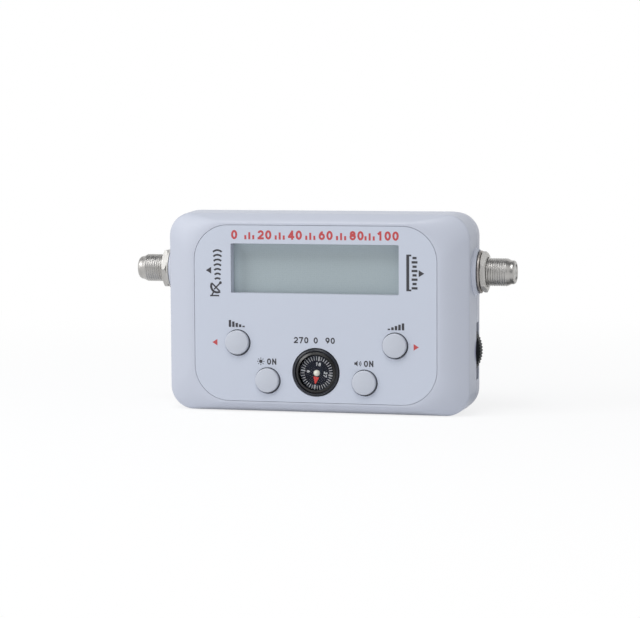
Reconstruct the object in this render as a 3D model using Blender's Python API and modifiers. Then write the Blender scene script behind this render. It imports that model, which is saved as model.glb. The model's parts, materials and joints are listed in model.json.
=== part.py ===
"""A hand-held satellite signal meter, piece by piece: a two-part plastic case, a face film, a display,
four keys, a small compass, a gain wheel and two threaded coaxial sockets, with the board and tuner they serve.

Lengths are in metres. +Z is up and the front looks towards -Y. The origin is the middle of the flat base.
"Depth" is measured from the flat of the front face towards the back.
"""

import math

import bmesh
import bpy
from mathutils import Matrix

# Case, measured at the parting line between the two shells
CASE_WIDTH = 0.1054
CASE_HEIGHT = 0.0680
CASE_DEPTH = 0.0260
CORNER_RADIUS = 0.0085
WALL = 0.0022
PARTING_DEPTH = 0.0145
DRAFT = 0.0005

# Crown: the front face falls away to a crease, in a wide slope at the sides and a narrow one at top and bottom
CROWN_DEPTH = 0.0045
CROWN_SIDE = 0.0096
CROWN_END = 0.0033
FACE_CORNER_RADIUS = 0.0125
CROWN_POWER = 1.6

# Back edge, and the lip of the back shell that stands in a rebate of the front shell
BACK_EDGE_RADIUS = 0.0040
LIP_INSET = 0.0013
LIP_THICKNESS = 0.00075
LIP_HEIGHT = 0.0012
LIP_ROOT = 0.0010
REBATE_OVERLAP = 0.0008

# Clearance between neighbouring pieces, and how far a cutter runs past what it cuts
GAP = 0.0003
OVERRUN = 0.0010
WELD_DISTANCE = 0.000001

# Face film
LABEL_MARGIN = 0.0006
LABEL_THICKNESS = 0.0003

# Display, set back in its window. Its height and place are shares of the case's height
WINDOW_HEIGHT_SHARE = 0.2471
WINDOW_PLACE_SHARE = 0.7206
WINDOW_CORNER = 0.0004
WINDOW_COLLAR = 0.0012
POLARISER_MARGIN = 0.0012
GLASS_MARGIN = 0.0024
CONTACT_LEDGE = 0.0026
BACKLIGHT_BEVEL = 0.0002
HOLDER_WALL = 0.0012
HOLDER_CORNER = 0.0008
HOLDER_POST_CLEARANCE = 0.0019
STRIP_WIDTH = 0.0018

# The display and the board fill the room between the face wall and the sockets, in these shares
AXIS_OVER_BOARD = 0.0034
SETBACK_SHARE = 0.189
POLARISER_SHARE = 0.027
GLASS_SHARE = 0.149
BACKLIGHT_SHARE = 0.270
BOARD_SHARE = 0.216

# Main board, behind the display. It reaches past the gain control and stops short of the posts and the sockets
BOARD_SIDE_CLEARANCE = 0.0020
BOARD_END_CLEARANCE = 0.0014
BOARD_POST_CLEARANCE = 0.0012
BOARD_POST_RADIUS = 0.0023
BOARD_HOLE_EDGE = 0.0028
BOARD_POST_FOOT = 0.0078
BOARD_SCREW_HEAD_RADIUS = 0.0021
BOARD_SCREW_HEAD_HEIGHT = 0.0013
BOARD_SCREW_RADIUS = 0.0009
BOARD_SCREW_GRIP = 0.0030

# Keys: caps in round holes, each over the plunger of a push switch. The upper ones lie at shares of the
# case's half width and height. Switch and plunger are shares of the room between cap flange and board
KEY_CENTRE_X = 0.0005
KEY_HOLE_RADIUS = 0.0045
UPPER_KEY_SPREAD_SHARE = 0.519
UPPER_KEY_SHARE = 0.3485
LOWER_KEY_SPREAD = 0.01685
LOWER_KEY_HEIGHT = 0.0110
CAP_PROUD = 0.0009
CAP_DOME = 0.0004
CAP_EDGE = 0.0004
CAP_FLANGE_WIDTH = 0.0011
CAP_FLANGE_THICKNESS = 0.0008
CAP_STEM_RADIUS = 0.0017
KEY_TRAVEL = 0.0005
SWITCH_SIDE = 0.0060
SWITCH_SHARE = 0.607
SWITCH_BEVEL = 0.0003
PLUNGER_RADIUS = 0.0015
PLUNGER_SHARE = 0.232
PLUNGER_REACH = 0.0010

# Compass, pressed into a collar behind the face
COMPASS_HEIGHT = 0.0142
COMPASS_RADIUS = 0.00795
COMPASS_BOARD_CLEARANCE = 0.0016
COMPASS_COLLAR = 0.0012
COMPASS_COLLAR_DEPTH = 0.0052
RIM_PROUD = 0.0006
RIM_WIDTH = 0.0008
CUP_WALL = 0.0006
CUP_SHELF_DEPTH = 0.0004
DOME_RISE = 0.0014
DOME_THICKNESS = 0.0006
CARD_RADIUS = 0.0059
CARD_DEPTH = 0.0014
CARD_THICKNESS = 0.0004
CARD_DROP = 0.00035
JEWEL_RADIUS = 0.0011
JEWEL_RISE = 0.0007
JEWEL_STEM_RADIUS = 0.0008
JEWEL_STEM_LENGTH = 0.0010
MAGNET_RADIUS = 0.0030
MAGNET_THICKNESS = 0.0010
PIVOT_RADIUS = 0.0002
PIVOT_FOOT_RADIUS = 0.0009
PIVOT_FOOT_HEIGHT = 0.0008

# Gain wheel: it stands proud of the right side through a slot in the back shell, and takes a share of the room
# behind the parting line
WHEEL_HEIGHT = 0.0209
WHEEL_RADIUS = 0.0110
WHEEL_PROUD = 0.0013
WHEEL_SHARE = 0.516
WHEEL_GAP = 0.0005
WHEEL_CHAMFER = 0.0005
WHEEL_DISH_RADIUS = 0.0078
WHEEL_DISH_DEPTH = 0.0014
TOOTH_COUNT = 64
TOOTH_DEPTH = 0.00035
SLOT_LENGTH = 0.0194
SLOT_CLEARANCE = 0.0005
SCALLOP_LENGTH = 0.0088
SCALLOP_SINK = 0.0007
GAIN_BODY_RADIUS = 0.0052
SHAFT_RADIUS = 0.0019
SHAFT_SINK = 0.0018
WHEEL_SCREW_HEAD_RADIUS = 0.0018
WHEEL_SCREW_HEAD_HEIGHT = 0.0009
WHEEL_SCREW_RADIUS = 0.0007
WHEEL_SCREW_SHARE = 0.615

# Coaxial sockets, on the parting line at a share of the case's height. STEP sizes are widths round the thread
SOCKET_PLACE_SHARE = 0.703
THREAD_RADIUS = 0.0047
SOCKET_REACH = 0.0125
TIP_LENGTH = 0.0026
TIP_CHAMFER = 0.0010
TIP_STEP = 0.0007
TIP_EDGE = 0.0004
SOCKET_BORE_RADIUS = 0.0028
FLANGE_STEP = 0.0008
FLANGE_THICKNESS = 0.0020
BARREL_STEP = 0.0009
SOCKET_TAIL = 0.0074
INSULATOR_SETBACK = 0.0005
CONTACT_RADIUS = 0.0008
CONTACT_BORE_RADIUS = 0.0005
CONTACT_BORE_DEPTH = 0.0080
CONTACT_SETBACK = 0.0006
CONTACT_REACH = 0.0025
BOSS_FOOT = 0.0007
BOSS_MARGIN = 0.0004
BOSS_HEIGHT = 0.0010
BOSS_EDGE = 0.0003
WASHER_STEP = 0.0026
WASHER_THICKNESS = 0.0005
NUT_STEP = 0.0015
NUT_THICKNESS = 0.0020
NUT_CHAMFER = 0.0004

# Corner posts and case screws
POST_INSET = 0.0059
POST_RADIUS = 0.0030
CASE_SCREW_RADIUS = 0.0011
CASE_SCREW_GRIP = 0.0055
CASE_SCREW_HEAD_RADIUS = 0.0022
CASE_SCREW_HEAD_HEIGHT = 0.0014
CASE_SCREW_RECESS = 0.0024

# Tuner shield, between the sockets and below the upper board screws, and the parts on the back of the board
SHIELD_SCREW_CLEARANCE = 0.0013
SHIELD_SHEET = 0.0005
COVER_SHEET = 0.0004
COVER_LIP = 0.0028
BUZZER_X = -0.0270
BUZZER_Z = 0.0210
BUZZER_RADIUS = 0.0060
BUZZER_SHARE = 0.66
BUZZER_HOLE_RADIUS = 0.0012
BUZZER_HOLE_DEPTH = 0.0022
BUZZER_EDGE = 0.0005
CHIP_X = 0.0005
CHIP_Z = 0.0250
CHIP_SIDE = 0.0100
CHIP_HEIGHT = 0.0015
CHIP_BEVEL = 0.0002
REGULATOR_X = 0.0235
REGULATOR_Z = 0.0275
REGULATOR_WIDTH = 0.0065
REGULATOR_LENGTH = 0.0061
REGULATOR_HEIGHT = 0.0022
CAPACITOR_X = -0.0125
CAPACITOR_Z = 0.0120
CAPACITOR_RADIUS = 0.0031
CAPACITOR_HEIGHT = 0.0058
CAPACITOR_NECK_DEPTH = 0.0003
CAPACITOR_NECK_HEIGHT = 0.0009
CHOKE_X = 0.0150
CHOKE_Z = 0.0110
CHOKE_RADIUS = 0.0038
CHOKE_HEIGHT = 0.0042
CHOKE_CHEEK = 0.0008
CHOKE_WAIST = 0.0008
CRYSTAL_X = -0.0130
CRYSTAL_DROP = 0.0078
CRYSTAL_LENGTH = 0.0110
CRYSTAL_WIDTH = 0.0045
CRYSTAL_HEIGHT = 0.0034

# How finely round forms are cut into flats
CORNER_STEPS = 7
SMALL_CORNER_STEPS = 2
BEVEL_STEPS = 2
CROWN_STEPS = 4
EDGE_STEPS = 3
RIM_STEPS = 4
CAP_STEPS = 2
DOME_STEPS = 3
LARGE_STEPS = 32
TURN_STEPS = 20
SMALL_STEPS = 12
SCREW_STEPS = 10
SCALLOP_STEPS = 60
SHARP_ANGLE = math.radians(35)
FLAT_ANGLE = math.radians(0.2)

# Places worked out from the sizes above
FRONT_Y = -CASE_DEPTH / 2
HALF_WIDTH = CASE_WIDTH / 2
CREASE_HALF_WIDTH = HALF_WIDTH - DRAFT
CREASE_TOP = CASE_HEIGHT - DRAFT
CREASE_RADIUS = CORNER_RADIUS - DRAFT
STACK_ROOM = PARTING_DEPTH - AXIS_OVER_BOARD - WALL - 5 * GAP
POLARISER_THICKNESS = STACK_ROOM * POLARISER_SHARE
GLASS_THICKNESS = STACK_ROOM * GLASS_SHARE
BACKLIGHT_THICKNESS = STACK_ROOM * BACKLIGHT_SHARE
BOARD_THICKNESS = STACK_ROOM * BOARD_SHARE
DISPLAY_DEPTH = WALL + GAP + STACK_ROOM * SETBACK_SHARE
FRONT_GLASS_DEPTH = DISPLAY_DEPTH + POLARISER_THICKNESS + GAP
REAR_GLASS_DEPTH = FRONT_GLASS_DEPTH + GLASS_THICKNESS + GAP
BACKLIGHT_DEPTH = REAR_GLASS_DEPTH + GLASS_THICKNESS + GAP
BOARD_DEPTH = BACKLIGHT_DEPTH + BACKLIGHT_THICKNESS + GAP
BOARD_BACK = BOARD_DEPTH + BOARD_THICKNESS
PARTS_DEPTH = BOARD_BACK + GAP
CAP_RADIUS = KEY_HOLE_RADIUS - GAP
FLANGE_BACK = WALL + GAP + CAP_FLANGE_THICKNESS
KEY_ROOM = BOARD_DEPTH - FLANGE_BACK - 2 * GAP
PLUNGER_RISE = KEY_ROOM * PLUNGER_SHARE
SWITCH_HEIGHT = KEY_ROOM * SWITCH_SHARE
SWITCH_DEPTH = BOARD_DEPTH - GAP - SWITCH_HEIGHT
UPPER_KEY_SPREAD = HALF_WIDTH * UPPER_KEY_SPREAD_SHARE
UPPER_KEY_HEIGHT = CASE_HEIGHT * UPPER_KEY_SHARE
COMPASS_DEPTH = BOARD_DEPTH - COMPASS_BOARD_CLEARANCE
CARD_Z = COMPASS_HEIGHT - CARD_DROP
WHEEL_FRONT = PARTING_DEPTH + WHEEL_GAP
WHEEL_BACK = WHEEL_FRONT + (CASE_DEPTH - WALL - PARTING_DEPTH) * WHEEL_SHARE
WHEEL_X = HALF_WIDTH + WHEEL_PROUD - WHEEL_RADIUS
GAIN_BODY_BACK = WHEEL_FRONT - GAP
SHAFT_FRONT = GAIN_BODY_BACK - SHAFT_SINK
SHAFT_BACK = WHEEL_BACK - WHEEL_DISH_DEPTH - GAP
WHEEL_SCREW_LENGTH = (SHAFT_BACK - SHAFT_FRONT) * WHEEL_SCREW_SHARE
SOCKET_Z = CASE_HEIGHT * SOCKET_PLACE_SHARE
TIP_RADIUS = THREAD_RADIUS - TIP_STEP
BARREL_RADIUS = THREAD_RADIUS - BARREL_STEP
FLANGE_FLATS = 2 * (THREAD_RADIUS + FLANGE_STEP)
NUT_FLATS = 2 * (THREAD_RADIUS + NUT_STEP)
WASHER_RADIUS = THREAD_RADIUS + WASHER_STEP
BOSS_TOP_RADIUS = WASHER_RADIUS + BOSS_MARGIN
BOSS_RADIUS = BOSS_TOP_RADIUS + BOSS_FOOT
BOSS_FACE = HALF_WIDTH + BOSS_HEIGHT
SOCKET_TIP = BOSS_FACE + SOCKET_REACH
FLANGE_FACE = HALF_WIDTH - WALL - DRAFT - GAP
SHIELD_END = FLANGE_FACE - FLANGE_THICKNESS - SOCKET_TAIL - GAP
BOARD_POST_X = SHIELD_END - BOARD_HOLE_EDGE
BOARD_POST_TOP = CASE_HEIGHT - BOARD_POST_FOOT
SHIELD_TOP = BOARD_POST_TOP - BOARD_SCREW_HEAD_RADIUS - SHIELD_SCREW_CLEARANCE
SHIELD_HALF_WIDTH = SHIELD_TOP - SOCKET_Z
SHIELD_BACK = PARTING_DEPTH + BARREL_RADIUS + GAP
BUZZER_HEIGHT = (CASE_DEPTH - WALL - PARTS_DEPTH) * BUZZER_SHARE
CRYSTAL_Z = SOCKET_Z - SHIELD_HALF_WIDTH - CRYSTAL_DROP
HOLDER_HALF_WIDTH = BOARD_POST_X - BOARD_POST_RADIUS - HOLDER_POST_CLEARANCE
WINDOW_HALF_WIDTH = HOLDER_HALF_WIDTH - HOLDER_WALL - GAP - GLASS_MARGIN
WINDOW_HALF_HEIGHT = CASE_HEIGHT * WINDOW_HEIGHT_SHARE / 2
WINDOW_Z = CASE_HEIGHT * WINDOW_PLACE_SHARE

# Finishes: colour, roughness and metallic value
FINISHES = {
    "case_plastic": ((0.58, 0.61, 0.68), 0.42, 0.0),
    "face_film": ((0.52, 0.56, 0.65), 0.35, 0.0),
    "polariser": ((0.34, 0.39, 0.40), 0.30, 0.0),
    "glass": ((0.70, 0.80, 0.78), 0.05, 0.0),
    "milky_plastic": ((0.85, 0.86, 0.84), 0.40, 0.0),
    "black_plastic": ((0.015, 0.015, 0.018), 0.35, 0.0),
    "grey_rubber": ((0.10, 0.10, 0.11), 0.75, 0.0),
    "board_green": ((0.02, 0.16, 0.07), 0.45, 0.0),
    "jewel": ((0.72, 0.72, 0.60), 0.25, 0.0),
    "nickel": ((0.66, 0.65, 0.63), 0.25, 1.0),
    "brass": ((0.75, 0.55, 0.24), 0.28, 1.0),
    "tinplate": ((0.62, 0.63, 0.64), 0.35, 1.0),
    "steel": ((0.50, 0.50, 0.51), 0.32, 1.0),
    "ferrite": ((0.06, 0.06, 0.065), 0.60, 0.0),
}

FACING = {
    "front": (math.radians(90), 0, 0),
    "back": (math.radians(-90), 0, 0),
    "right": (0, math.radians(90), 0),
    "left": (0, math.radians(-90), 0),
}
SIDES = {"left": -1, "right": 1}


# Scene, collections and finishes


def clear_scene():
    """Starts from an empty scene with one collection for the meter and one for the cutters."""
    for item in list(bpy.data.objects):
        bpy.data.objects.remove(item, do_unlink=True)
    groups = {}
    for name in ("satellite_signal_meter", "cutters"):
        groups[name] = bpy.data.collections.new(name)
        bpy.context.scene.collection.children.link(groups[name])
    groups["cutters"].hide_render = True
    return groups["satellite_signal_meter"], groups["cutters"]


PARTS, CUTTERS = clear_scene()


def add_piece(name, shape):
    """A new object in the meter's collection from a bmesh."""
    mesh = bpy.data.meshes.new(name)
    shape.to_mesh(mesh)
    shape.free()
    piece = bpy.data.objects.new(name, mesh)
    PARTS.objects.link(piece)
    return piece


def settle(piece):
    """Keeps the mesh that the modifiers give, and drops the modifiers."""
    bpy.context.view_layer.update()
    graph = bpy.context.evaluated_depsgraph_get()
    mesh = bpy.data.meshes.new_from_object(piece.evaluated_get(graph))
    piece.modifiers.clear()
    piece.data = mesh
    return piece


def combine(piece, operation, tools):
    """Cuts, joins or trims a piece by the tools, which go to the cutters."""
    for tool in tools:
        boolean = piece.modifiers.new(tool.name, "BOOLEAN")
        boolean.operation = operation
        boolean.object = tool
        PARTS.objects.unlink(tool)
        CUTTERS.objects.link(tool)
        tool.hide_render = True
        tool.display_type = "WIRE"
    return settle(piece)


def cut(piece, *tools):
    return combine(piece, "DIFFERENCE", tools)


def join(piece, *tools):
    return combine(piece, "UNION", tools)


def trim(piece, *tools):
    return combine(piece, "INTERSECT", tools)


def finish(piece, look):
    """Gives the piece a material of its own, and shades its round faces smooth."""
    colour, roughness, metallic = FINISHES[look]
    material = bpy.data.materials.new(piece.name + "_" + look)
    material.use_nodes = True
    shader = material.node_tree.nodes["Principled BSDF"]
    shader.inputs["Base Color"].default_value = (*colour, 1)
    shader.inputs["Roughness"].default_value = roughness
    shader.inputs["Metallic"].default_value = metallic
    piece.data.materials.clear()
    piece.data.materials.append(material)
    for face in piece.data.polygons:
        face.material_index = 0
    piece.data.shade_smooth()
    piece.data.set_sharp_from_angle(angle=SHARP_ANGLE)
    return piece


def carry(carrier, *riders):
    """Parents the riders to the piece that they move with, where they are."""
    bpy.context.view_layer.update()
    for rider in riders:
        rider.parent = carrier
        rider.matrix_parent_inverse = carrier.matrix_world.inverted()


# Outlines, seen from the front as (x, z) points, anticlockwise


def at_depth(depth):
    return FRONT_Y + depth


def arc(x, z, radius, start, end, steps):
    """Points of an arc from one angle to another, in degrees, both ends included."""
    angles = [math.radians(start + (end - start) * step / steps) for step in range(steps + 1)]
    return [(x + radius * math.cos(a), z + radius * math.sin(a)) for a in angles]


def circle(x, z, radius, steps):
    return arc(x, z, radius, 0, 360, steps)[:-1]


def rounded_box(half_width, low, high, radius, steps=CORNER_STEPS):
    """A rectangle with round corners, centred on x = 0."""
    right = half_width - radius
    points = arc(right, low + radius, radius, 270, 360, steps)
    points += arc(right, high - radius, radius, 0, 90, steps)
    points += arc(-right, high - radius, radius, 90, 180, steps)
    points += arc(-right, low + radius, radius, 180, 270, steps)
    return points


def rectangle(half_width, low, high):
    return [(half_width, low), (half_width, high), (-half_width, high), (-half_width, low)]


# Solids


def box(name, low, high, bevel=0):
    """A box between two corners of (x, depth, z)."""
    shape = bmesh.new()
    bmesh.ops.create_cube(shape, size=1)
    span = [b - a for a, b in zip(low, high)]
    middle = [(a + b) / 2 for a, b in zip(low, high)]
    bmesh.ops.transform(shape, matrix=Matrix.Diagonal((*span, 1)), verts=shape.verts)
    piece = add_piece(name, shape)
    piece.location = (middle[0], at_depth(middle[1]), middle[2])
    if bevel:
        round_edges(piece, bevel)
    return piece


def round_edges(piece, width):
    bevel = piece.modifiers.new("rounded edges", "BEVEL")
    bevel.width = width
    bevel.segments = BEVEL_STEPS
    return settle(piece)


def rod(name, x, z, radius, front, back, steps=SMALL_STEPS):
    """A round bar along the depth, from one depth to another."""
    shape = bmesh.new()
    bmesh.ops.create_cone(
        shape, cap_ends=True, segments=steps, radius1=radius, radius2=radius, depth=back - front
    )
    piece = add_piece(name, shape)
    piece.rotation_euler = FACING["front"]
    piece.location = (x, at_depth((front + back) / 2), z)
    return piece


def cross_rod(name, side, z, depth, radius, inner, outer, steps=TURN_STEPS):
    """A round bar, or with six steps a hexagonal one, along X on one side of the case."""
    shape = bmesh.new()
    bmesh.ops.create_cone(
        shape, cap_ends=True, segments=steps, radius1=radius, radius2=radius, depth=outer - inner
    )
    piece = add_piece(name, shape)
    piece.rotation_euler = FACING[side]
    piece.location = (SIDES[side] * (inner + outer) / 2, at_depth(depth), z)
    return piece


def turned(name, profile, facing, place, steps=TURN_STEPS, ring=False):
    """A profile of (radius, height) points turned about the line from `place` towards `facing`.

    It runs from the outer end down the outer side, and a ring's profile closes on itself.
    """
    mesh = bpy.data.meshes.new(name)
    edges = [(i, i + 1) for i in range(len(profile) - 1)]
    if ring:
        edges.append((len(profile) - 1, 0))
    mesh.from_pydata([(radius, 0, height) for radius, height in profile], edges, [])
    piece = bpy.data.objects.new(name, mesh)
    PARTS.objects.link(piece)
    piece.rotation_euler = FACING[facing]
    piece.location = place
    screw = piece.modifiers.new("turn", "SCREW")
    screw.axis = "Z"
    screw.steps = screw.render_steps = steps
    screw.use_merge_vertices = True
    screw.merge_threshold = WELD_DISTANCE
    return join_flats(settle(piece))


def join_flats(piece):
    """Makes one face of the facets that lie in one plane, as at the end of a turned piece."""
    shape = bmesh.new()
    shape.from_mesh(piece.data)
    bmesh.ops.dissolve_limit(
        shape, angle_limit=FLAT_ANGLE, verts=shape.verts, edges=shape.edges, use_dissolve_boundaries=False
    )
    shape.to_mesh(piece.data)
    shape.free()
    return piece


def face_turned(name, profile, x, z, steps=TURN_STEPS, ring=False):
    """A turned piece square to the face, from (radius, depth) points, front to back down its outer side."""
    heights = [(radius, -depth) for radius, depth in profile]
    return turned(name, heights, "front", (x, FRONT_Y, z), steps, ring)


def side_turned(name, profile, side, steps=TURN_STEPS, ring=False):
    """A turned piece on the sockets' axis, from (radius, distance from the middle) points, outer end first."""
    return turned(name, profile, side, (0, at_depth(PARTING_DEPTH), SOCKET_Z), steps, ring)


def plate(name, outlines, front, thickness):
    """A flat piece with its front at a depth: the first outline is its edge, and the others are its holes."""
    curve = bpy.data.curves.new(name, "CURVE")
    curve.dimensions = "2D"
    curve.fill_mode = "BOTH"
    curve.extrude = thickness / 2
    for outline in outlines:
        spline = curve.splines.new("POLY")
        spline.points.add(len(outline) - 1)
        for point, (x, z) in zip(spline.points, outline):
            point.co = (x, z, 0, 1)
        spline.use_cyclic_u = True
    guide = bpy.data.objects.new(name + "_outline", curve)
    PARTS.objects.link(guide)
    guide.rotation_euler = FACING["front"]
    guide.location = (0, at_depth(front + thickness / 2), 0)
    return meshed(guide, name)


def meshed(guide, name):
    """The closed mesh of a curve, in the curve's place."""
    bpy.context.view_layer.update()
    graph = bpy.context.evaluated_depsgraph_get()
    mesh = bpy.data.meshes.new_from_object(guide.evaluated_get(graph))
    shape = bmesh.new()
    shape.from_mesh(mesh)
    bmesh.ops.remove_doubles(shape, verts=shape.verts, dist=WELD_DISTANCE)
    bmesh.ops.recalc_face_normals(shape, faces=shape.faces)
    piece = add_piece(name, shape)
    piece.matrix_world = guide.matrix_world.copy()
    bpy.data.objects.remove(guide, do_unlink=True)
    return piece


def loft(name, rings, cap_front=True, cap_back=False):
    """A skin over rings of (outline, depth), front to back."""
    shape = bmesh.new()
    rows = []
    for outline, depth in rings:
        rows.append([shape.verts.new((x, at_depth(depth), z)) for x, z in outline])
    for ahead, behind in zip(rows, rows[1:]):
        for i, j in zip(range(len(ahead)), [*range(1, len(ahead)), 0]):
            shape.faces.new((ahead[i], ahead[j], behind[j], behind[i]))
    if cap_front:
        shape.faces.new(reversed(rows[0]))
    if cap_back:
        shape.faces.new(rows[-1])
    bmesh.ops.recalc_face_normals(shape, faces=shape.faces)
    return add_piece(name, shape)


def hollow(piece, wall):
    """Turns an open skin into a wall of that thickness, on its inner side."""
    solidify = piece.modifiers.new("wall", "SOLIDIFY")
    solidify.thickness = wall
    solidify.offset = -1
    solidify.use_even_offset = True
    return settle(piece)


# Case


def case_outline(inset):
    """The case's outline at the parting line, or a line inside it."""
    return rounded_box(HALF_WIDTH - inset, inset, CASE_HEIGHT - inset, CORNER_RADIUS - inset)


def crown_ring(share, inset):
    """One ring of the crown, from its flat at share 0 to the crease at share 1, or of a skin inside it."""
    left_share = 1 - share
    depth = CROWN_DEPTH * share**CROWN_POWER + inset
    half_width = CREASE_HALF_WIDTH - CROWN_SIDE * left_share - inset
    low = CROWN_END * left_share + inset
    high = CREASE_TOP - CROWN_END * left_share - inset
    radius = CREASE_RADIUS * share + FACE_CORNER_RADIUS * left_share - inset
    return rounded_box(half_width, low, high, radius), depth


def front_rings(inset):
    """Rings from the flat face, over the crown and along the side walls to just past the parting line."""
    rings = [crown_ring(step / CROWN_STEPS, inset) for step in range(CROWN_STEPS + 1)]
    rings.append((case_outline(inset), PARTING_DEPTH))
    rings.append((case_outline(inset), PARTING_DEPTH + OVERRUN))
    return rings


def back_ring(angle, inset):
    """One ring of the back edge's rounding, from the side wall at 0 degrees to the back face at 90."""
    sink = BACK_EDGE_RADIUS * (1 - math.cos(math.radians(angle)))
    depth = CASE_DEPTH - BACK_EDGE_RADIUS * (1 - math.sin(math.radians(angle))) - inset
    draw = DRAFT + sink + inset
    radius = CORNER_RADIUS - draw
    return rounded_box(HALF_WIDTH - draw, sink + inset, CASE_HEIGHT - draw, radius), depth


def back_rings(inset):
    """Rings from just before the parting line along the side walls and round the back edge."""
    rings = [(case_outline(inset), PARTING_DEPTH - OVERRUN), (case_outline(inset), PARTING_DEPTH)]
    rings += [back_ring(90 * step / EDGE_STEPS, inset) for step in range(EDGE_STEPS + 1)]
    return rings


def corner_posts():
    """The (x, z) places of the four case screws."""
    x = HALF_WIDTH - POST_INSET
    return [(side * x, z) for z in (POST_INSET, CASE_HEIGHT - POST_INSET) for side in (-1, 1)]


def board_posts():
    """The (x, z) places of the four board screws."""
    return [(side * BOARD_POST_X, z) for z in (BOARD_POST_FOOT, BOARD_POST_TOP) for side in (-1, 1)]


def keys():
    """The (name, x, z) of the four keys."""
    return [
        ("left_attenuator", KEY_CENTRE_X - UPPER_KEY_SPREAD, UPPER_KEY_HEIGHT),
        ("right_attenuator", KEY_CENTRE_X + UPPER_KEY_SPREAD, UPPER_KEY_HEIGHT),
        ("light", KEY_CENTRE_X - LOWER_KEY_SPREAD, LOWER_KEY_HEIGHT),
        ("buzzer", KEY_CENTRE_X + LOWER_KEY_SPREAD, LOWER_KEY_HEIGHT),
    ]


def window_outline(margin, corner=WINDOW_CORNER):
    half_height = WINDOW_HALF_HEIGHT + margin
    low, high = WINDOW_Z - half_height, WINDOW_Z + half_height
    return rounded_box(WINDOW_HALF_WIDTH + margin, low, high, corner, SMALL_CORNER_STEPS)


def label_outline(margin):
    """The face film's edge, a margin inside the crown's flat, or a line outside it."""
    sink = LABEL_MARGIN - margin
    half_width = CREASE_HALF_WIDTH - CROWN_SIDE - sink
    low, high = CROWN_END + sink, CREASE_TOP - CROWN_END - sink
    return rounded_box(half_width, low, high, FACE_CORNER_RADIUS - sink)


def socket_boss(side):
    """The raised round seat of a socket's washer, which both shells share."""
    inner = HALF_WIDTH - WALL / 2
    profile = [
        (0, BOSS_FACE),
        (BOSS_TOP_RADIUS - BOSS_EDGE, BOSS_FACE),
        (BOSS_TOP_RADIUS, BOSS_FACE - BOSS_EDGE),
        (BOSS_RADIUS, HALF_WIDTH),
        (BOSS_RADIUS, inner),
        (0, inner),
    ]
    return side_turned("boss_" + side, profile, side, LARGE_STEPS)


def socket_holes():
    """One long bar that cuts the hole of both sockets."""
    reach = BOSS_FACE + OVERRUN
    return cross_rod("socket_holes", "right", SOCKET_Z, PARTING_DEPTH, THREAD_RADIUS + GAP, -reach, reach)


def beyond_parting(name, front, back):
    """A block over the whole outline between two depths, which trims a shell at the parting line."""
    half_width = BOSS_FACE + OVERRUN
    return box(name, (-half_width, front, -OVERRUN), (half_width, back, CASE_HEIGHT + OVERRUN))


def front_posts():
    """Posts that run from the crown's inner side to the parting line, and to the board."""
    core = loft("front_core", front_rings(WALL / 2), cap_back=True)
    posts = []
    for number, (x, z) in enumerate(corner_posts()):
        post = rod(f"front_post_{number}", x, z, POST_RADIUS, 0, PARTING_DEPTH)
        posts.append(post)
    for number, (x, z) in enumerate(board_posts()):
        post = rod(f"board_post_{number}", x, z, BOARD_POST_RADIUS, 0, BOARD_DEPTH - GAP)
        posts.append(post)
    for post in posts:
        trim_by(post, core)
    retire(core)
    return posts


def trim_by(piece, shape):
    """Keeps the part of the piece inside a shape that other pieces are trimmed by as well."""
    boolean = piece.modifiers.new(shape.name, "BOOLEAN")
    boolean.operation = "INTERSECT"
    boolean.object = shape
    return settle(piece)


def retire(shape):
    """Moves a helper shape to the cutters."""
    PARTS.objects.unlink(shape)
    CUTTERS.objects.link(shape)
    shape.hide_render = True
    shape.display_type = "WIRE"


def front_collars():
    """The wall round the display window, and the ring that grips the compass cup."""
    start = WALL / 2
    window = plate(
        "window_collar",
        [window_outline(WINDOW_COLLAR, WINDOW_COLLAR)],
        start,
        DISPLAY_DEPTH - GAP - start,
    )
    radius = COMPASS_RADIUS + GAP + COMPASS_COLLAR
    compass = rod(
        "compass_collar", KEY_CENTRE_X, COMPASS_HEIGHT, radius, start, COMPASS_COLLAR_DEPTH, LARGE_STEPS
    )
    return [window, compass]


def face_cutters():
    """What is cut from the face: the film's recess, the window, the key holes and the compass hole."""
    recess_depth = LABEL_THICKNESS + GAP
    tools = [plate("label_recess", [label_outline(GAP)], -OVERRUN, OVERRUN + recess_depth)]
    tools.append(plate("window_cut", [window_outline(0)], -OVERRUN, OVERRUN + DISPLAY_DEPTH))
    for name, x, z in keys():
        tools.append(rod(name + "_hole", x, z, KEY_HOLE_RADIUS, -OVERRUN, WALL + OVERRUN, TURN_STEPS))
    radius = COMPASS_RADIUS + GAP
    back = COMPASS_COLLAR_DEPTH + OVERRUN
    tools.append(rod("compass_hole", KEY_CENTRE_X, COMPASS_HEIGHT, radius, -OVERRUN, back, LARGE_STEPS))
    return tools


def pilot_holes():
    """Blind holes for the screws in the front shell's posts."""
    tools = []
    for number, (x, z) in enumerate(corner_posts()):
        front = PARTING_DEPTH - CASE_SCREW_GRIP - GAP
        radius = CASE_SCREW_RADIUS + GAP
        tools.append(rod(f"case_pilot_{number}", x, z, radius, front, PARTING_DEPTH + OVERRUN))
    for number, (x, z) in enumerate(board_posts()):
        front = BOARD_DEPTH - BOARD_SCREW_GRIP - GAP
        radius = BOARD_SCREW_RADIUS + GAP
        tools.append(rod(f"board_pilot_{number}", x, z, radius, front, BOARD_DEPTH + OVERRUN))
    return tools


def rebate():
    """The step inside the front shell's edge that takes the back shell's lip."""
    outlines = [case_outline(LIP_INSET - GAP), case_outline(WALL + REBATE_OVERLAP)]
    front = PARTING_DEPTH - LIP_HEIGHT - GAP
    return plate("rebate", outlines, front, LIP_HEIGHT + GAP + OVERRUN)


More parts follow.
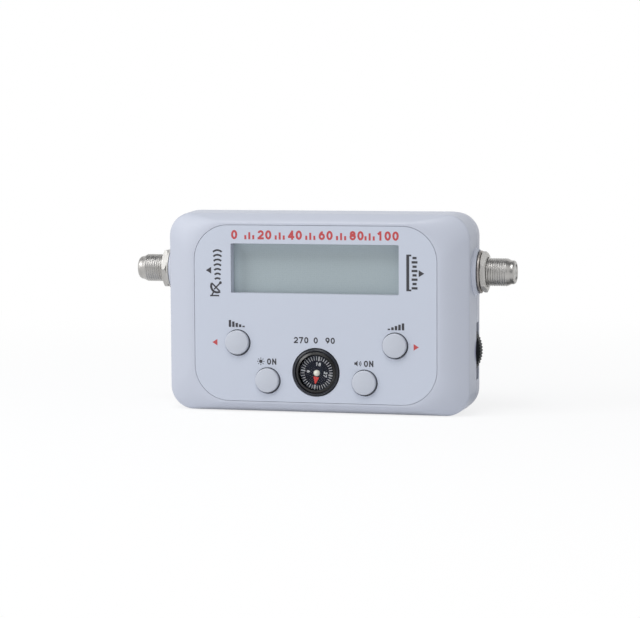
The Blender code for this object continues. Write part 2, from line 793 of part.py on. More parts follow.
def scallop():
    """A ball that sinks a finger relief into the side wall before the gain wheel."""
    half_length = SCALLOP_LENGTH / 2
    radius = (half_length**2 + SCALLOP_SINK**2) / (2 * SCALLOP_SINK)
    shape = bmesh.new()
    bmesh.ops.create_uvsphere(
        shape, u_segments=SCALLOP_STEPS, v_segments=SCALLOP_STEPS // 2, radius=radius
    )
    ball = add_piece("scallop", shape)
    ball.location = (HALF_WIDTH + radius - SCALLOP_SINK, at_depth(PARTING_DEPTH), WHEEL_HEIGHT)
    return ball


def front_shell():
    """Front half of the case, with the crown, the face openings, its posts, collars and socket seats."""
    shell = hollow(loft("front_shell", front_rings(0)), WALL)
    join(shell, *front_posts(), *front_collars(), *[socket_boss(side) for side in SIDES])
    back = PARTING_DEPTH + BOSS_RADIUS + OVERRUN
    behind = beyond_parting("front_trim", PARTING_DEPTH - GAP / 2, back)
    cut(shell, socket_holes(), behind, rebate(), *face_cutters(), *pilot_holes(), scallop())
    return finish(shell, "case_plastic")


def screw_tubes():
    """Tubes inside the back shell that meet the front shell's corner posts."""
    front = PARTING_DEPTH
    back = CASE_DEPTH - WALL / 2
    return [
        rod(f"screw_tube_{number}", x, z, POST_RADIUS, front, back)
        for number, (x, z) in enumerate(corner_posts())
    ]


def screw_recesses():
    """Through holes of the case screws, each with a deep seat for its head."""
    tools = []
    for number, (x, z) in enumerate(corner_posts()):
        radius = CASE_SCREW_RADIUS + GAP
        back = CASE_DEPTH + OVERRUN
        tools.append(rod(f"screw_hole_{number}", x, z, radius, PARTING_DEPTH - OVERRUN, back))
        seat = CASE_SCREW_HEAD_RADIUS + GAP
        floor = CASE_DEPTH - CASE_SCREW_RECESS
        tools.append(rod(f"screw_seat_{number}", x, z, seat, floor, back))
    return tools


def lip():
    """The rib round the back shell's edge that stands in the front shell's rebate."""
    outlines = [case_outline(LIP_INSET), case_outline(LIP_INSET + LIP_THICKNESS)]
    return plate("lip", outlines, PARTING_DEPTH - LIP_HEIGHT, LIP_HEIGHT + LIP_ROOT)


def wheel_slot():
    """The slot beside the parting line that the gain wheel stands through."""
    inner = HALF_WIDTH - WALL - DRAFT - OVERRUN
    front = PARTING_DEPTH - LIP_HEIGHT - OVERRUN
    back = WHEEL_BACK + SLOT_CLEARANCE
    low, high = WHEEL_HEIGHT - SLOT_LENGTH / 2, WHEEL_HEIGHT + SLOT_LENGTH / 2
    return box("wheel_slot", (inner, front, low), (HALF_WIDTH + OVERRUN, back, high))


def back_shell():
    """Back half of the case, with its screw tubes, lip, wheel slot and socket seats."""
    shell = hollow(loft("back_shell", back_rings(0), cap_front=False, cap_back=True), WALL)
    join(shell, *screw_tubes(), *[socket_boss(side) for side in SIDES])
    before = beyond_parting("back_trim", 0, PARTING_DEPTH + GAP / 2)
    cut(shell, before)
    join(shell, lip())
    cut(shell, *screw_recesses(), wheel_slot(), socket_holes())
    return finish(shell, "case_plastic")


def face_label():
    """The printed face film, flush in its recess, with openings for the window, the keys and the compass."""
    holes = [circle(x, z, KEY_HOLE_RADIUS, TURN_STEPS) for _, x, z in keys()]
    holes.append(circle(KEY_CENTRE_X, COMPASS_HEIGHT, COMPASS_RADIUS + GAP, LARGE_STEPS))
    film = plate("face_label", [label_outline(0), window_outline(0), *holes], 0, LABEL_THICKNESS)
    return finish(film, "face_film")


def case_screws():
    """Round-headed screws from the back, through the tubes into the front shell's posts."""
    seat = CASE_DEPTH - CASE_SCREW_RECESS + GAP
    tip = PARTING_DEPTH - CASE_SCREW_GRIP
    for number, (x, z) in enumerate(corner_posts(), 1):
        head = screw_profile(
            CASE_SCREW_HEAD_RADIUS, CASE_SCREW_HEAD_HEIGHT, CASE_SCREW_RADIUS, seat, tip
        )
        finish(turned(f"case_screw_{number}", head, "back", (x, FRONT_Y, z), SCREW_STEPS), "steel")


def screw_profile(head_radius, head_height, radius, seat, tip):
    """A domed head on its seat and a plain shank with a short point, down from the head."""
    dome_share = 0.6
    return [
        (0, seat + head_height),
        (head_radius * dome_share, seat + head_height * (1 + dome_share) / 2),
        (head_radius, seat + head_height * dome_share / 2),
        (head_radius, seat),
        (radius, seat),
        (radius, tip + radius),
        (0, tip),
    ]


# Display


def display_box(name, margin, depth, thickness, ledge=0, bevel=0):
    """A flat part of the display, a margin wider than the window all round, with a ledge below."""
    half_width = WINDOW_HALF_WIDTH + margin
    half_height = WINDOW_HALF_HEIGHT + margin
    low, high = WINDOW_Z - half_height - ledge, WINDOW_Z + half_height
    return box(name, (-half_width, depth, low), (half_width, depth + thickness, high), bevel)


def display():
    """Polariser, two glass plates, the backlight and the contact strip, in a plastic holder on the board."""
    finish(
        display_box("display_polariser", POLARISER_MARGIN, DISPLAY_DEPTH, POLARISER_THICKNESS),
        "polariser",
    )
    glass = display_box("display_front_glass", GLASS_MARGIN, FRONT_GLASS_DEPTH, GLASS_THICKNESS)
    finish(glass, "glass")
    glass = display_box(
        "display_rear_glass", GLASS_MARGIN, REAR_GLASS_DEPTH, GLASS_THICKNESS, CONTACT_LEDGE
    )
    finish(glass, "glass")
    light = display_box(
        "backlight_plate", GLASS_MARGIN, BACKLIGHT_DEPTH, BACKLIGHT_THICKNESS, 0, BACKLIGHT_BEVEL
    )
    finish(light, "milky_plastic")
    finish(contact_strip(), "grey_rubber")
    finish(display_holder(), "black_plastic")


def contact_strip():
    """The striped rubber that joins the rear glass's ledge to the board."""
    half_width = WINDOW_HALF_WIDTH + GLASS_MARGIN
    high = WINDOW_Z - WINDOW_HALF_HEIGHT - GLASS_MARGIN - GAP
    low = high - STRIP_WIDTH
    front, back = BACKLIGHT_DEPTH, BACKLIGHT_DEPTH + BACKLIGHT_THICKNESS
    return box("contact_strip", (-half_width, front, low), (half_width, back, high))


def display_holder():
    """The frame round the glass, the backlight and the strip."""
    outlines = []
    for margin in (GAP + HOLDER_WALL, GAP):
        half_width = WINDOW_HALF_WIDTH + GLASS_MARGIN + margin
        high = WINDOW_Z + WINDOW_HALF_HEIGHT + GLASS_MARGIN + margin
        low = WINDOW_Z - WINDOW_HALF_HEIGHT - GLASS_MARGIN - CONTACT_LEDGE - margin
        corner = HOLDER_CORNER if outlines else HOLDER_CORNER + HOLDER_WALL
        outlines.append(rounded_box(half_width, low, high, corner, SMALL_CORNER_STEPS))
    depth = BOARD_DEPTH - GAP - FRONT_GLASS_DEPTH
    return plate("display_holder", outlines, FRONT_GLASS_DEPTH, depth)


# Main board and its screws


def board_outline():
    """The board is widest beside the gain control, and narrower at the corner posts and between the sockets."""
    wide = HALF_WIDTH - WALL - BOARD_SIDE_CLEARANCE
    foot_half = HALF_WIDTH - POST_INSET - POST_RADIUS - BOARD_POST_CLEARANCE
    foot = WALL + BOARD_END_CLEARANCE
    foot_step = POST_INSET + POST_RADIUS + BOARD_POST_CLEARANCE
    top = CASE_HEIGHT - WALL - BOARD_END_CLEARANCE
    top_step = SOCKET_Z - FLANGE_FLATS
    right = [(foot_half, foot), (foot_half, foot_step), (wide, foot_step)]
    right += [(wide, top_step), (SHIELD_END, top_step), (SHIELD_END, top)]
    return right + [(-x, z) for x, z in reversed(right)]


def main_board():
    holes = [circle(x, z, BOARD_SCREW_RADIUS + GAP, SMALL_STEPS) for x, z in board_posts()]
    board = plate("main_board", [board_outline(), *holes], BOARD_DEPTH, BOARD_THICKNESS)
    return finish(board, "board_green")


def board_screws():
    """Short screws through the board into the front shell's posts."""
    tip = BOARD_DEPTH - BOARD_SCREW_GRIP
    for number, (x, z) in enumerate(board_posts(), 1):
        head = screw_profile(
            BOARD_SCREW_HEAD_RADIUS, BOARD_SCREW_HEAD_HEIGHT, BOARD_SCREW_RADIUS, PARTS_DEPTH, tip
        )
        finish(turned(f"board_screw_{number}", head, "back", (x, FRONT_Y, z), SCREW_STEPS), "steel")


# Keys and their switches


def cap_profile():
    """A low dome with a rounded edge, a flange behind the face wall and a stem over the plunger."""
    top_radius = CAP_RADIUS - CAP_EDGE
    profile = []
    for step in range(CAP_STEPS + 1):
        share = step / CAP_STEPS
        profile.append((top_radius * share, -CAP_PROUD - CAP_DOME * (1 - share**2)))
    for r, d in arc(top_radius, 0, CAP_EDGE, 90, 0, CAP_STEPS)[1:]:
        profile.append((r, CAP_EDGE - CAP_PROUD - d))
    flange = CAP_RADIUS + CAP_FLANGE_WIDTH
    flange_front = FLANGE_BACK - CAP_FLANGE_THICKNESS
    stem_end = SWITCH_DEPTH - PLUNGER_RISE - GAP
    profile += [(CAP_RADIUS, flange_front), (flange, flange_front), (flange, FLANGE_BACK)]
    profile += [(CAP_STEM_RADIUS, FLANGE_BACK), (CAP_STEM_RADIUS, stem_end), (0, stem_end)]
    return profile


def plunger_profile():
    front = SWITCH_DEPTH - PLUNGER_RISE
    back = SWITCH_DEPTH + PLUNGER_REACH
    return [(0, front), (PLUNGER_RADIUS, front), (PLUNGER_RADIUS, back), (0, back)]


def push_switch(name, x, z):
    """A square switch on the board, open in front for its plunger."""
    half = SWITCH_SIDE / 2
    low, high = (x - half, SWITCH_DEPTH, z - half), (x + half, SWITCH_DEPTH + SWITCH_HEIGHT, z + half)
    housing = box(name + "_switch", low, high, SWITCH_BEVEL)
    floor = SWITCH_DEPTH + PLUNGER_REACH + KEY_TRAVEL + GAP
    well = rod(name + "_well", x, z, PLUNGER_RADIUS + GAP, SWITCH_DEPTH - OVERRUN, floor)
    return finish(cut(housing, well), "black_plastic")


def key_sets():
    """Each key's cap with the plunger that it presses, and the switch on the board."""
    for name, x, z in keys():
        cap = finish(face_turned(name + "_key", cap_profile(), x, z), "case_plastic")
        plunger = face_turned(name + "_plunger", plunger_profile(), x, z, SMALL_STEPS)
        carry(cap, finish(plunger, "milky_plastic"))
        push_switch(name, x, z)


# Compass


def compass_cup():
    """A black cup with a rounded rim that stands proud of the face and a shelf for the dome."""
    rim_inner = COMPASS_RADIUS - RIM_WIDTH
    inner = rim_inner - CUP_WALL
    floor = COMPASS_DEPTH - CUP_WALL
    rim = arc(COMPASS_RADIUS - RIM_WIDTH / 2, 0, RIM_WIDTH / 2, 180, 0, RIM_STEPS)
    profile = [(r, RIM_WIDTH / 2 - RIM_PROUD - d) for r, d in rim]
    profile += [(COMPASS_RADIUS, COMPASS_DEPTH), (0, COMPASS_DEPTH), (0, floor)]
    profile += [(inner, floor), (inner, CUP_SHELF_DEPTH), (rim_inner, CUP_SHELF_DEPTH)]
    cup = face_turned("compass_cup", profile, KEY_CENTRE_X, COMPASS_HEIGHT, LARGE_STEPS, ring=True)
    return finish(cup, "black_plastic")


def dome_arc(edge_radius, edge_depth, rise):
    """Half of a shallow dome's section, from its middle out to its edge."""
    ball = (edge_radius**2 + rise**2) / (2 * rise)
    reach = math.asin(edge_radius / ball)
    points = []
    for step in range(DOME_STEPS + 1):
        angle = reach * step / DOME_STEPS
        points.append((ball * math.sin(angle), edge_depth - rise + ball * (1 - math.cos(angle))))
    return points


def compass_dome():
    """The clear dome: a thin curved lens whose edge stands on the cup's shelf."""
    radius = COMPASS_RADIUS - RIM_WIDTH - GAP
    back = CUP_SHELF_DEPTH - GAP
    outer = dome_arc(radius, -RIM_PROUD / 2, DOME_RISE)
    inner_radius = radius - DOME_THICKNESS
    inner = dome_arc(inner_radius, back, DOME_RISE + RIM_PROUD / 2 + back - DOME_THICKNESS)
    profile = outer + [(radius, back)] + inner[::-1]
    dome = face_turned("compass_dome", profile, KEY_CENTRE_X, COMPASS_HEIGHT, LARGE_STEPS)
    return finish(dome, "glass")


def compass_card():
    """The dial card with its jewel cap and ring magnet, which turn together on the pivot."""
    hole = JEWEL_STEM_RADIUS + GAP
    back = CARD_DEPTH + CARD_THICKNESS
    profile = [(hole, CARD_DEPTH), (CARD_RADIUS, CARD_DEPTH), (CARD_RADIUS, back), (hole, back)]
    card = face_turned("compass_card", profile, KEY_CENTRE_X, CARD_Z, TURN_STEPS, ring=True)
    finish(card, "black_plastic")
    seat = CARD_DEPTH - GAP
    end = seat + JEWEL_STEM_LENGTH + CARD_THICKNESS
    cone = PIVOT_RADIUS + GAP
    profile = dome_arc(JEWEL_RADIUS, seat, JEWEL_RISE)
    profile += [(JEWEL_STEM_RADIUS, seat), (JEWEL_STEM_RADIUS, end), (cone, end), (0, seat)]
    jewel = finish(face_turned("compass_jewel", profile, KEY_CENTRE_X, CARD_Z, SMALL_STEPS), "jewel")
    front = back + GAP
    rear = front + MAGNET_THICKNESS
    profile = [(hole, front), (MAGNET_RADIUS, front), (MAGNET_RADIUS, rear), (hole, rear)]
    magnet = face_turned("compass_magnet", profile, KEY_CENTRE_X, CARD_Z, SMALL_STEPS, ring=True)
    carry(card, jewel, finish(magnet, "ferrite"))


def compass_pivot():
    """A steel needle on a foot in the cup, whose point reaches into the jewel."""
    foot_back = COMPASS_DEPTH - CUP_WALL - GAP
    foot_front = foot_back - PIVOT_FOOT_HEIGHT
    point = CARD_DEPTH + CARD_THICKNESS
    profile = [(0, point), (PIVOT_RADIUS, point + GAP), (PIVOT_RADIUS, foot_front)]
    profile += [(PIVOT_FOOT_RADIUS, foot_front), (PIVOT_FOOT_RADIUS, foot_back), (0, foot_back)]
    return finish(face_turned("compass_pivot", profile, KEY_CENTRE_X, CARD_Z, SMALL_STEPS), "steel")


# Gain wheel


def toothed_outline(tip_radius):
    """A circle of fine pointed teeth."""
    points = []
    for step in range(2 * TOOTH_COUNT):
        angle = math.pi * step / TOOTH_COUNT
        radius = tip_radius - TOOTH_DEPTH * (step % 2)
        points.append((WHEEL_X + radius * math.cos(angle), WHEEL_HEIGHT + radius * math.sin(angle)))
    return points


def gain_wheel():
    """The knurled disc, with bevelled edges, a dish for the screw and a bore for the shaft."""
    small = toothed_outline(WHEEL_RADIUS - WHEEL_CHAMFER)
    large = toothed_outline(WHEEL_RADIUS)
    rings = [(small, WHEEL_FRONT), (large, WHEEL_FRONT + WHEEL_CHAMFER)]
    rings += [(large, WHEEL_BACK - WHEEL_CHAMFER), (small, WHEEL_BACK)]
    wheel = loft("gain_wheel", rings, cap_back=True)
    floor = WHEEL_BACK - WHEEL_DISH_DEPTH
    back = WHEEL_BACK + OVERRUN
    bore = SHAFT_RADIUS + GAP
    cut(
        wheel,
        rod("wheel_dish", WHEEL_X, WHEEL_HEIGHT, WHEEL_DISH_RADIUS, floor, back, TURN_STEPS),
        rod("wheel_bore", WHEEL_X, WHEEL_HEIGHT, bore, WHEEL_FRONT - OVERRUN, back),
    )
    centre_origin(wheel, WHEEL_X, WHEEL_HEIGHT)
    return finish(wheel, "black_plastic")


def centre_origin(piece, x, z):
    """Moves the origin of a piece to its turning axis, and leaves its shape where it is."""
    place = Matrix.Translation((x, FRONT_Y, z))
    piece.data.transform(place.inverted() @ piece.matrix_world)
    piece.matrix_world = place


def gain_shaft_profile():
    hole = WHEEL_SCREW_RADIUS + GAP
    floor = SHAFT_BACK - WHEEL_SCREW_LENGTH
    profile = [(0, SHAFT_FRONT), (SHAFT_RADIUS, SHAFT_FRONT), (SHAFT_RADIUS, SHAFT_BACK)]
    return profile + [(hole, SHAFT_BACK), (hole, floor), (0, floor)]


def gain_control():
    """The round control on the board, its shaft, the wheel on the shaft and the screw that holds it."""
    wheel = gain_wheel()
    shaft = face_turned("gain_shaft", gain_shaft_profile(), WHEEL_X, WHEEL_HEIGHT, SMALL_STEPS)
    seat = SHAFT_BACK + 2 * GAP
    tip = seat - WHEEL_SCREW_LENGTH
    head = screw_profile(
        WHEEL_SCREW_HEAD_RADIUS, WHEEL_SCREW_HEAD_HEIGHT, WHEEL_SCREW_RADIUS, seat, tip
    )
    place = (WHEEL_X, FRONT_Y, WHEEL_HEIGHT)
    screw = turned("wheel_screw", head, "back", place, SCREW_STEPS)
    carry(wheel, finish(shaft, "brass"), finish(screw, "steel"))
    body = rod(
        "gain_control_body",
        WHEEL_X,
        WHEEL_HEIGHT,
        GAIN_BODY_RADIUS,
        PARTS_DEPTH,
        GAIN_BODY_BACK,
    )
    floor = SHAFT_FRONT - GAP
    well = rod(
        "shaft_well", WHEEL_X, WHEEL_HEIGHT, SHAFT_RADIUS + GAP, floor, GAIN_BODY_BACK + OVERRUN
    )
    finish(cut(body, well), "black_plastic")


# Coaxial sockets


def socket_body(side):
    """The threaded barrel with its stepped tip outside, its flange inside the wall and its tail."""
    thread_end = SOCKET_TIP - TIP_LENGTH
    flange_back = FLANGE_FACE - FLANGE_THICKNESS
    tail = SHIELD_END + GAP
    profile = [
        (SOCKET_BORE_RADIUS, SOCKET_TIP),
        (TIP_RADIUS - TIP_EDGE, SOCKET_TIP),
        (TIP_RADIUS, SOCKET_TIP - TIP_EDGE),
        (TIP_RADIUS, thread_end + TIP_CHAMFER),
        (THREAD_RADIUS, thread_end),
        (THREAD_RADIUS, flange_back + FLANGE_THICKNESS / 2),
        (BARREL_RADIUS, flange_back + FLANGE_THICKNESS / 2),
        (BARREL_RADIUS, tail),
        (SOCKET_BORE_RADIUS, tail),
    ]
    body = side_turned(side + "_socket", profile, side, ring=True)
    corner = FLANGE_FLATS / 2 / math.cos(math.radians(30))
    flange = cross_rod(
        side + "_flange", side, SOCKET_Z, PARTING_DEPTH, corner, flange_back, FLANGE_FACE, 6
    )
    bore = cross_rod(
        side + "_flange_bore",
        side,
        SOCKET_Z,
        PARTING_DEPTH,
        (SOCKET_BORE_RADIUS + BARREL_RADIUS) / 2,
        flange_back - OVERRUN,
        FLANGE_FACE + OVERRUN,
    )
    join(body, cut(flange, bore))
    return finish(body, "nickel")


def socket_insulator(side):
    """The plastic core, just behind the tip, with a hole down its middle for the centre contact."""
    outer = SOCKET_TIP - INSULATOR_SETBACK
    inner = SHIELD_END + GAP
    radius = SOCKET_BORE_RADIUS - GAP
    hole = CONTACT_RADIUS + GAP
    profile = [(hole, outer), (radius, outer), (radius, inner), (hole, inner)]
    core = side_turned(side + "_insulator", profile, side, SMALL_STEPS, ring=True)
    return finish(core, "milky_plastic")


def socket_contact(side):
    """The centre contact: hollow at its mouth for a cable's wire, and a pin through the shield's wall."""
    outer = SOCKET_TIP - INSULATOR_SETBACK - CONTACT_SETBACK
    inner = SHIELD_END - CONTACT_REACH
    contact = cross_rod(
        side + "_contact", side, SOCKET_Z, PARTING_DEPTH, CONTACT_RADIUS, inner, outer, SMALL_STEPS
    )
    bore = cross_rod(
        side + "_contact_bore",
        side,
        SOCKET_Z,
        PARTING_DEPTH,
        CONTACT_BORE_RADIUS,
        outer - CONTACT_BORE_DEPTH,
        outer + OVERRUN,
        SMALL_STEPS,
    )
    return finish(cut(contact, bore), "brass")


def socket_washer(side):
    inner = BOSS_FACE + GAP
    outer = inner + WASHER_THICKNESS
    hole = THREAD_RADIUS + GAP
    profile = [(hole, outer), (WASHER_RADIUS, outer), (WASHER_RADIUS, inner), (hole, inner)]
    washer = side_turned(side + "_washer", profile, side, ring=True)
    return finish(washer, "nickel")


def socket_nut(side):
    """A hexagon nut, its corners turned off at both faces and its bore clear of the thread."""
    inner = BOSS_FACE + GAP + WASHER_THICKNESS + GAP
    outer = inner + NUT_THICKNESS
    corner = NUT_FLATS / 2 / math.cos(math.radians(30))
    nut = cross_rod(side + "_nut", side, SOCKET_Z, PARTING_DEPTH, corner, inner, outer, 6)
    flat = corner - 2 * NUT_CHAMFER
    profile = [(0, outer), (flat, outer), (corner, outer - NUT_CHAMFER)]
    profile += [(corner, inner + NUT_CHAMFER), (flat, inner), (0, inner)]
    trim(nut, side_turned(side + "_nut_blank", profile, side))
    bore = cross_rod(
        side + "_nut_bore",
        side,
        SOCKET_Z,
        PARTING_DEPTH,
        THREAD_RADIUS + GAP,
        inner - OVERRUN,
        outer + OVERRUN,
    )
    return finish(cut(nut, bore), "nickel")


def sockets():
    for side in SIDES:
        socket_body(side)
        socket_insulator(side)
        socket_contact(side)
        socket_washer(side)
        socket_nut(side)


# Tuner shield


def shield_outline(margin):
    half_width = SHIELD_HALF_WIDTH + margin
    return rectangle(SHIELD_END + margin, SOCKET_Z - half_width, SOCKET_Z + half_width)


def tuner_shield():
    """A tinplate frame on the board between the sockets, with a hole at each end for the centre contact."""
    outlines = [shield_outline(0), shield_outline(-SHIELD_SHEET)]
    frame = plate("tuner_shield", outlines, PARTS_DEPTH, SHIELD_BACK - PARTS_DEPTH)
    holes = []
    for side in SIDES:
        inner = SHIELD_END - SHIELD_SHEET - OVERRUN
        outer = SHIELD_END + OVERRUN
        radius = CONTACT_RADIUS + 2 * GAP
        name = side + "_contact_hole"
        hole = cross_rod(name, side, SOCKET_Z, PARTING_DEPTH, radius, inner, outer, SMALL_STEPS)
        holes.append(hole)
    return finish(cut(frame, *holes), "tinplate")


def shield_cover():
    """The lid, pressed from sheet, whose lip goes round the frame's back edge with a notch at each socket."""
    margin = GAP + COVER_SHEET
    back = SHIELD_BACK + margin
    front = back - COVER_LIP
    outline = shield_outline(margin)
    cover = loft("shield_cover", [(outline, front), (outline, back)], cap_front=False, cap_back=True)
    hollow(cover, COVER_SHEET)
    reach = SHIELD_END + OVERRUN
    radius = BARREL_RADIUS + GAP
    notches = cross_rod("cover_notches", "right", SOCKET_Z, PARTING_DEPTH, radius, -reach, reach)
    return finish(cut(cover, notches), "tinplate")


# Parts on the back of the board


def buzzer_profile():
    front = PARTS_DEPTH
    back = front + BUZZER_HEIGHT
    profile = [(0, back - BUZZER_HOLE_DEPTH), (BUZZER_HOLE_RADIUS, back - BUZZER_HOLE_DEPTH)]
    profile += [(BUZZER_HOLE_RADIUS, back), (BUZZER_RADIUS - BUZZER_EDGE, back)]
    return profile + [(BUZZER_RADIUS, back - BUZZER_EDGE), (BUZZER_RADIUS, front), (0, front)]


def capacitor_profile():
    """A metal can with a rolled neck near its foot."""
    front = PARTS_DEPTH
    back = front + CAPACITOR_HEIGHT
    neck = CAPACITOR_RADIUS - CAPACITOR_NECK_DEPTH
    profile = [(0, back), (neck, back), (CAPACITOR_RADIUS, back - CAPACITOR_NECK_DEPTH)]
    profile += [(CAPACITOR_RADIUS, front + 2 * CAPACITOR_NECK_HEIGHT)]
    profile += [(neck, front + CAPACITOR_NECK_HEIGHT * 3 / 2)]
    profile += [(CAPACITOR_RADIUS, front + CAPACITOR_NECK_HEIGHT)]
    return profile + [(CAPACITOR_RADIUS, front), (0, front)]


def choke_profile():
    """A ferrite drum: two cheeks and a wound waist."""
    front = PARTS_DEPTH
    back = front + CHOKE_HEIGHT
    waist = CHOKE_RADIUS - CHOKE_WAIST
    profile = [(0, back), (CHOKE_RADIUS, back), (CHOKE_RADIUS, back - CHOKE_CHEEK)]
    profile += [(waist, back - CHOKE_CHEEK), (waist, front + CHOKE_CHEEK)]
    return profile + [(CHOKE_RADIUS, front + CHOKE_CHEEK), (CHOKE_RADIUS, front), (0, front)]


def board_parts():
    """Buzzer, controller chip, regulator, capacitor, choke and crystal."""
    for name, profile, x, z, look in (
        ("buzzer", buzzer_profile(), BUZZER_X, BUZZER_Z, "black_plastic"),
        ("capacitor", capacitor_profile(), CAPACITOR_X, CAPACITOR_Z, "tinplate"),
        ("choke", choke_profile(), CHOKE_X, CHOKE_Z, "ferrite"),
    ):
        finish(turned(name, profile, "back", (x, FRONT_Y, z), SMALL_STEPS), look)
    for name, x, z, width, length, height in (
        ("controller_chip", CHIP_X, CHIP_Z, CHIP_SIDE, CHIP_SIDE, CHIP_HEIGHT),
        ("regulator", REGULATOR_X, REGULATOR_Z, REGULATOR_WIDTH, REGULATOR_LENGTH, REGULATOR_HEIGHT),
    ):
        low = (x - width / 2, PARTS_DEPTH, z - length / 2)
        high = (x + width / 2, PARTS_DEPTH + height, z + length / 2)
        finish(box(name, low, high, CHIP_BEVEL), "black_plastic")
    radius = CRYSTAL_WIDTH / 2
    reach = CRYSTAL_LENGTH / 2 - radius
    outline = arc(CRYSTAL_X + reach, CRYSTAL_Z, radius, -90, 90, SMALL_STEPS)
    outline += arc(CRYSTAL_X - reach, CRYSTAL_Z, radius, 90, 270, SMALL_STEPS)
    finish(plate("crystal", [outline], PARTS_DEPTH, CRYSTAL_HEIGHT), "tinplate")


front_shell()
back_shell()
face_label()
case_screws()
display()
main_board()
board_screws()
key_sets()
compass_cup()
compass_dome()
compass_card()
compass_pivot()
gain_control()
sockets()
tuner_shield()
shield_cover()
board_parts()
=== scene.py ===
"""A hand-held satellite signal meter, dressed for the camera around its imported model.

Lengths are in metres. +Z is up and the face looks towards -Y. Depth runs back from the flat of the face.
"""

import json
from math import asin, copysign, cos, hypot, pi, radians, sin, tau

import bmesh
import bpy
from mathutils import Matrix, Vector


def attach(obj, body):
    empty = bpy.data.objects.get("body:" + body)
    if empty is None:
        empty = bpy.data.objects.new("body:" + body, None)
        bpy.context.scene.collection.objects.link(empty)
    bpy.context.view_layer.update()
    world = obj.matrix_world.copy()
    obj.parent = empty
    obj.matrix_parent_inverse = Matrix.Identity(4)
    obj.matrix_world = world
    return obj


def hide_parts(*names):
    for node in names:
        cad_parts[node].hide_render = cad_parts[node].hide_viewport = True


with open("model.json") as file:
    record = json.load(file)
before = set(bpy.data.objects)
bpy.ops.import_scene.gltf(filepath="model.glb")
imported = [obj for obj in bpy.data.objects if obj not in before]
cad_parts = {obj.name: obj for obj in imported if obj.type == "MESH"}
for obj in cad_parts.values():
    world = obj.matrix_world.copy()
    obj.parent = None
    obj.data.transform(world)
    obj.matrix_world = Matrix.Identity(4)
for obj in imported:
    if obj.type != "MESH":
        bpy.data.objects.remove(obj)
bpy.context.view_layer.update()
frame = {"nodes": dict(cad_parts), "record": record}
nodes = frame["nodes"]


# Studio. A wide pale floor carries the standing meter in an even white room, under a large soft lamp high on
# the left and another over its top. Grey cards, which only gloss and glass show, give metal and dome their
# contrast. The camera looks from the right of the face, a little above it.

FLOOR_SIZE = 6.0
FLOOR_DROP = 0.0001
FLOOR_COLOUR = (0.94, 0.945, 0.96)
FLOOR_WHITE_NEAR = 0.80
SHADOW_REACH = 0.40
ROOM_COLOUR = (0.95, 0.97, 1.0)
ROOM_LEVEL = 0.50
LAMPS = {
    "key_lamp": ((-0.70, -0.50, 0.50), (0, 0, 0.03), 0.42, 3.0),
    "top_lamp": ((-0.05, -0.42, 0.85), (0, -0.05, 0.03), 0.36, 3.2),
}
CARDS = {
    "ceiling_card": (0.25, (0, 0.15, 0.95), (1.4, 0, 0), (0, 0.45, 0)),
    "camera_card": (0.55, (0.15, -1.6, 0.55), (1.1, 0, 0), (0, 0, 0.55)),
    "table_card": (0.20, (0.073, 0.005, -FLOOR_DROP / 2), (0.018, 0, 0), (0, 0.035, 0)),
}
CAMERA_PLACE = Vector((0.1946, -0.7578, 0.1043))
CAMERA_YAW = 0.253
CAMERA_PITCH = 0.089
CAMERA_ROLL = -0.005
CAMERA_LENS = 129.39
CAMERA_SENSOR = 36.0
CAMERA_NEAR = 0.01
CAMERA_FAR = 100


def feed(tree, node, inputs):
    """Gives each named socket of a node its value, or links it to the socket that feeds it."""
    for key, value in inputs.items():
        if isinstance(value, bpy.types.NodeSocket):
            tree.links.new(value, node.inputs[key])
        else:
            node.inputs[key].default_value = value


def add_node(tree, kind, inputs=None, **settings):
    node = tree.nodes.new("ShaderNode" + kind)
    for name, value in settings.items():
        setattr(node, name, value)
    feed(tree, node, inputs or {})
    return node


def maths(tree, operation, one, two=0.0):
    """One step of arithmetic on masks or numbers."""
    return add_node(tree, "Math", {0: one, 1: two}, operation=operation).outputs[0]


def ramp(tree, mask, low, high, first=0.0, last=1.0, shape="LINEAR"):
    """Runs from `first` to `last` while a mask passes from low to high."""
    ends = {"Value": mask, "From Min": low, "From Max": high, "To Min": first, "To Max": last}
    return add_node(tree, "MapRange", ends, interpolation_type=shape).outputs["Result"]


def distance(tree, place, centre, weights=(1, 1, 1)):
    """How far a place lies from a centre, with a weight for each direction."""
    offset = add_node(tree, "VectorMath", {0: place, 1: centre}, operation="SUBTRACT")
    scaled = add_node(tree, "VectorMath", {0: offset.outputs[0], 1: weights}, operation="MULTIPLY")
    return add_node(tree, "VectorMath", {0: scaled.outputs[0]}, operation="LENGTH").outputs["Value"]


def seen_rays(tree):
    """1 for rays that the camera sees, straight or through glass and gloss, and 0 for the lighting rays."""
    path = add_node(tree, "LightPath").outputs
    seen = maths(tree, "MAXIMUM", path["Is Camera Ray"], path["Is Glossy Ray"])
    return maths(tree, "MAXIMUM", seen, path["Is Transmission Ray"])


def add_object(name, data):
    thing = bpy.data.objects.new(name, data)
    bpy.context.scene.collection.objects.link(thing)
    return thing


def flat_board(name, centre, across, upwards):
    """A flat rectangle round a centre, from its middle to the middle of two of its edges."""
    mesh = bpy.data.meshes.new(name)
    middle, a, b = Vector(centre), Vector(across), Vector(upwards)
    corners = [middle - a - b, middle + a - b, middle + a + b, middle - a + b]
    mesh.from_pydata(corners, [], [(0, 1, 2, 3)])
    board = add_object(name, mesh)
    paint = bpy.data.materials.new(name + "_paint")
    paint.use_nodes = True
    paint.node_tree.nodes.clear()
    mesh.materials.append(paint)
    return board, paint.node_tree


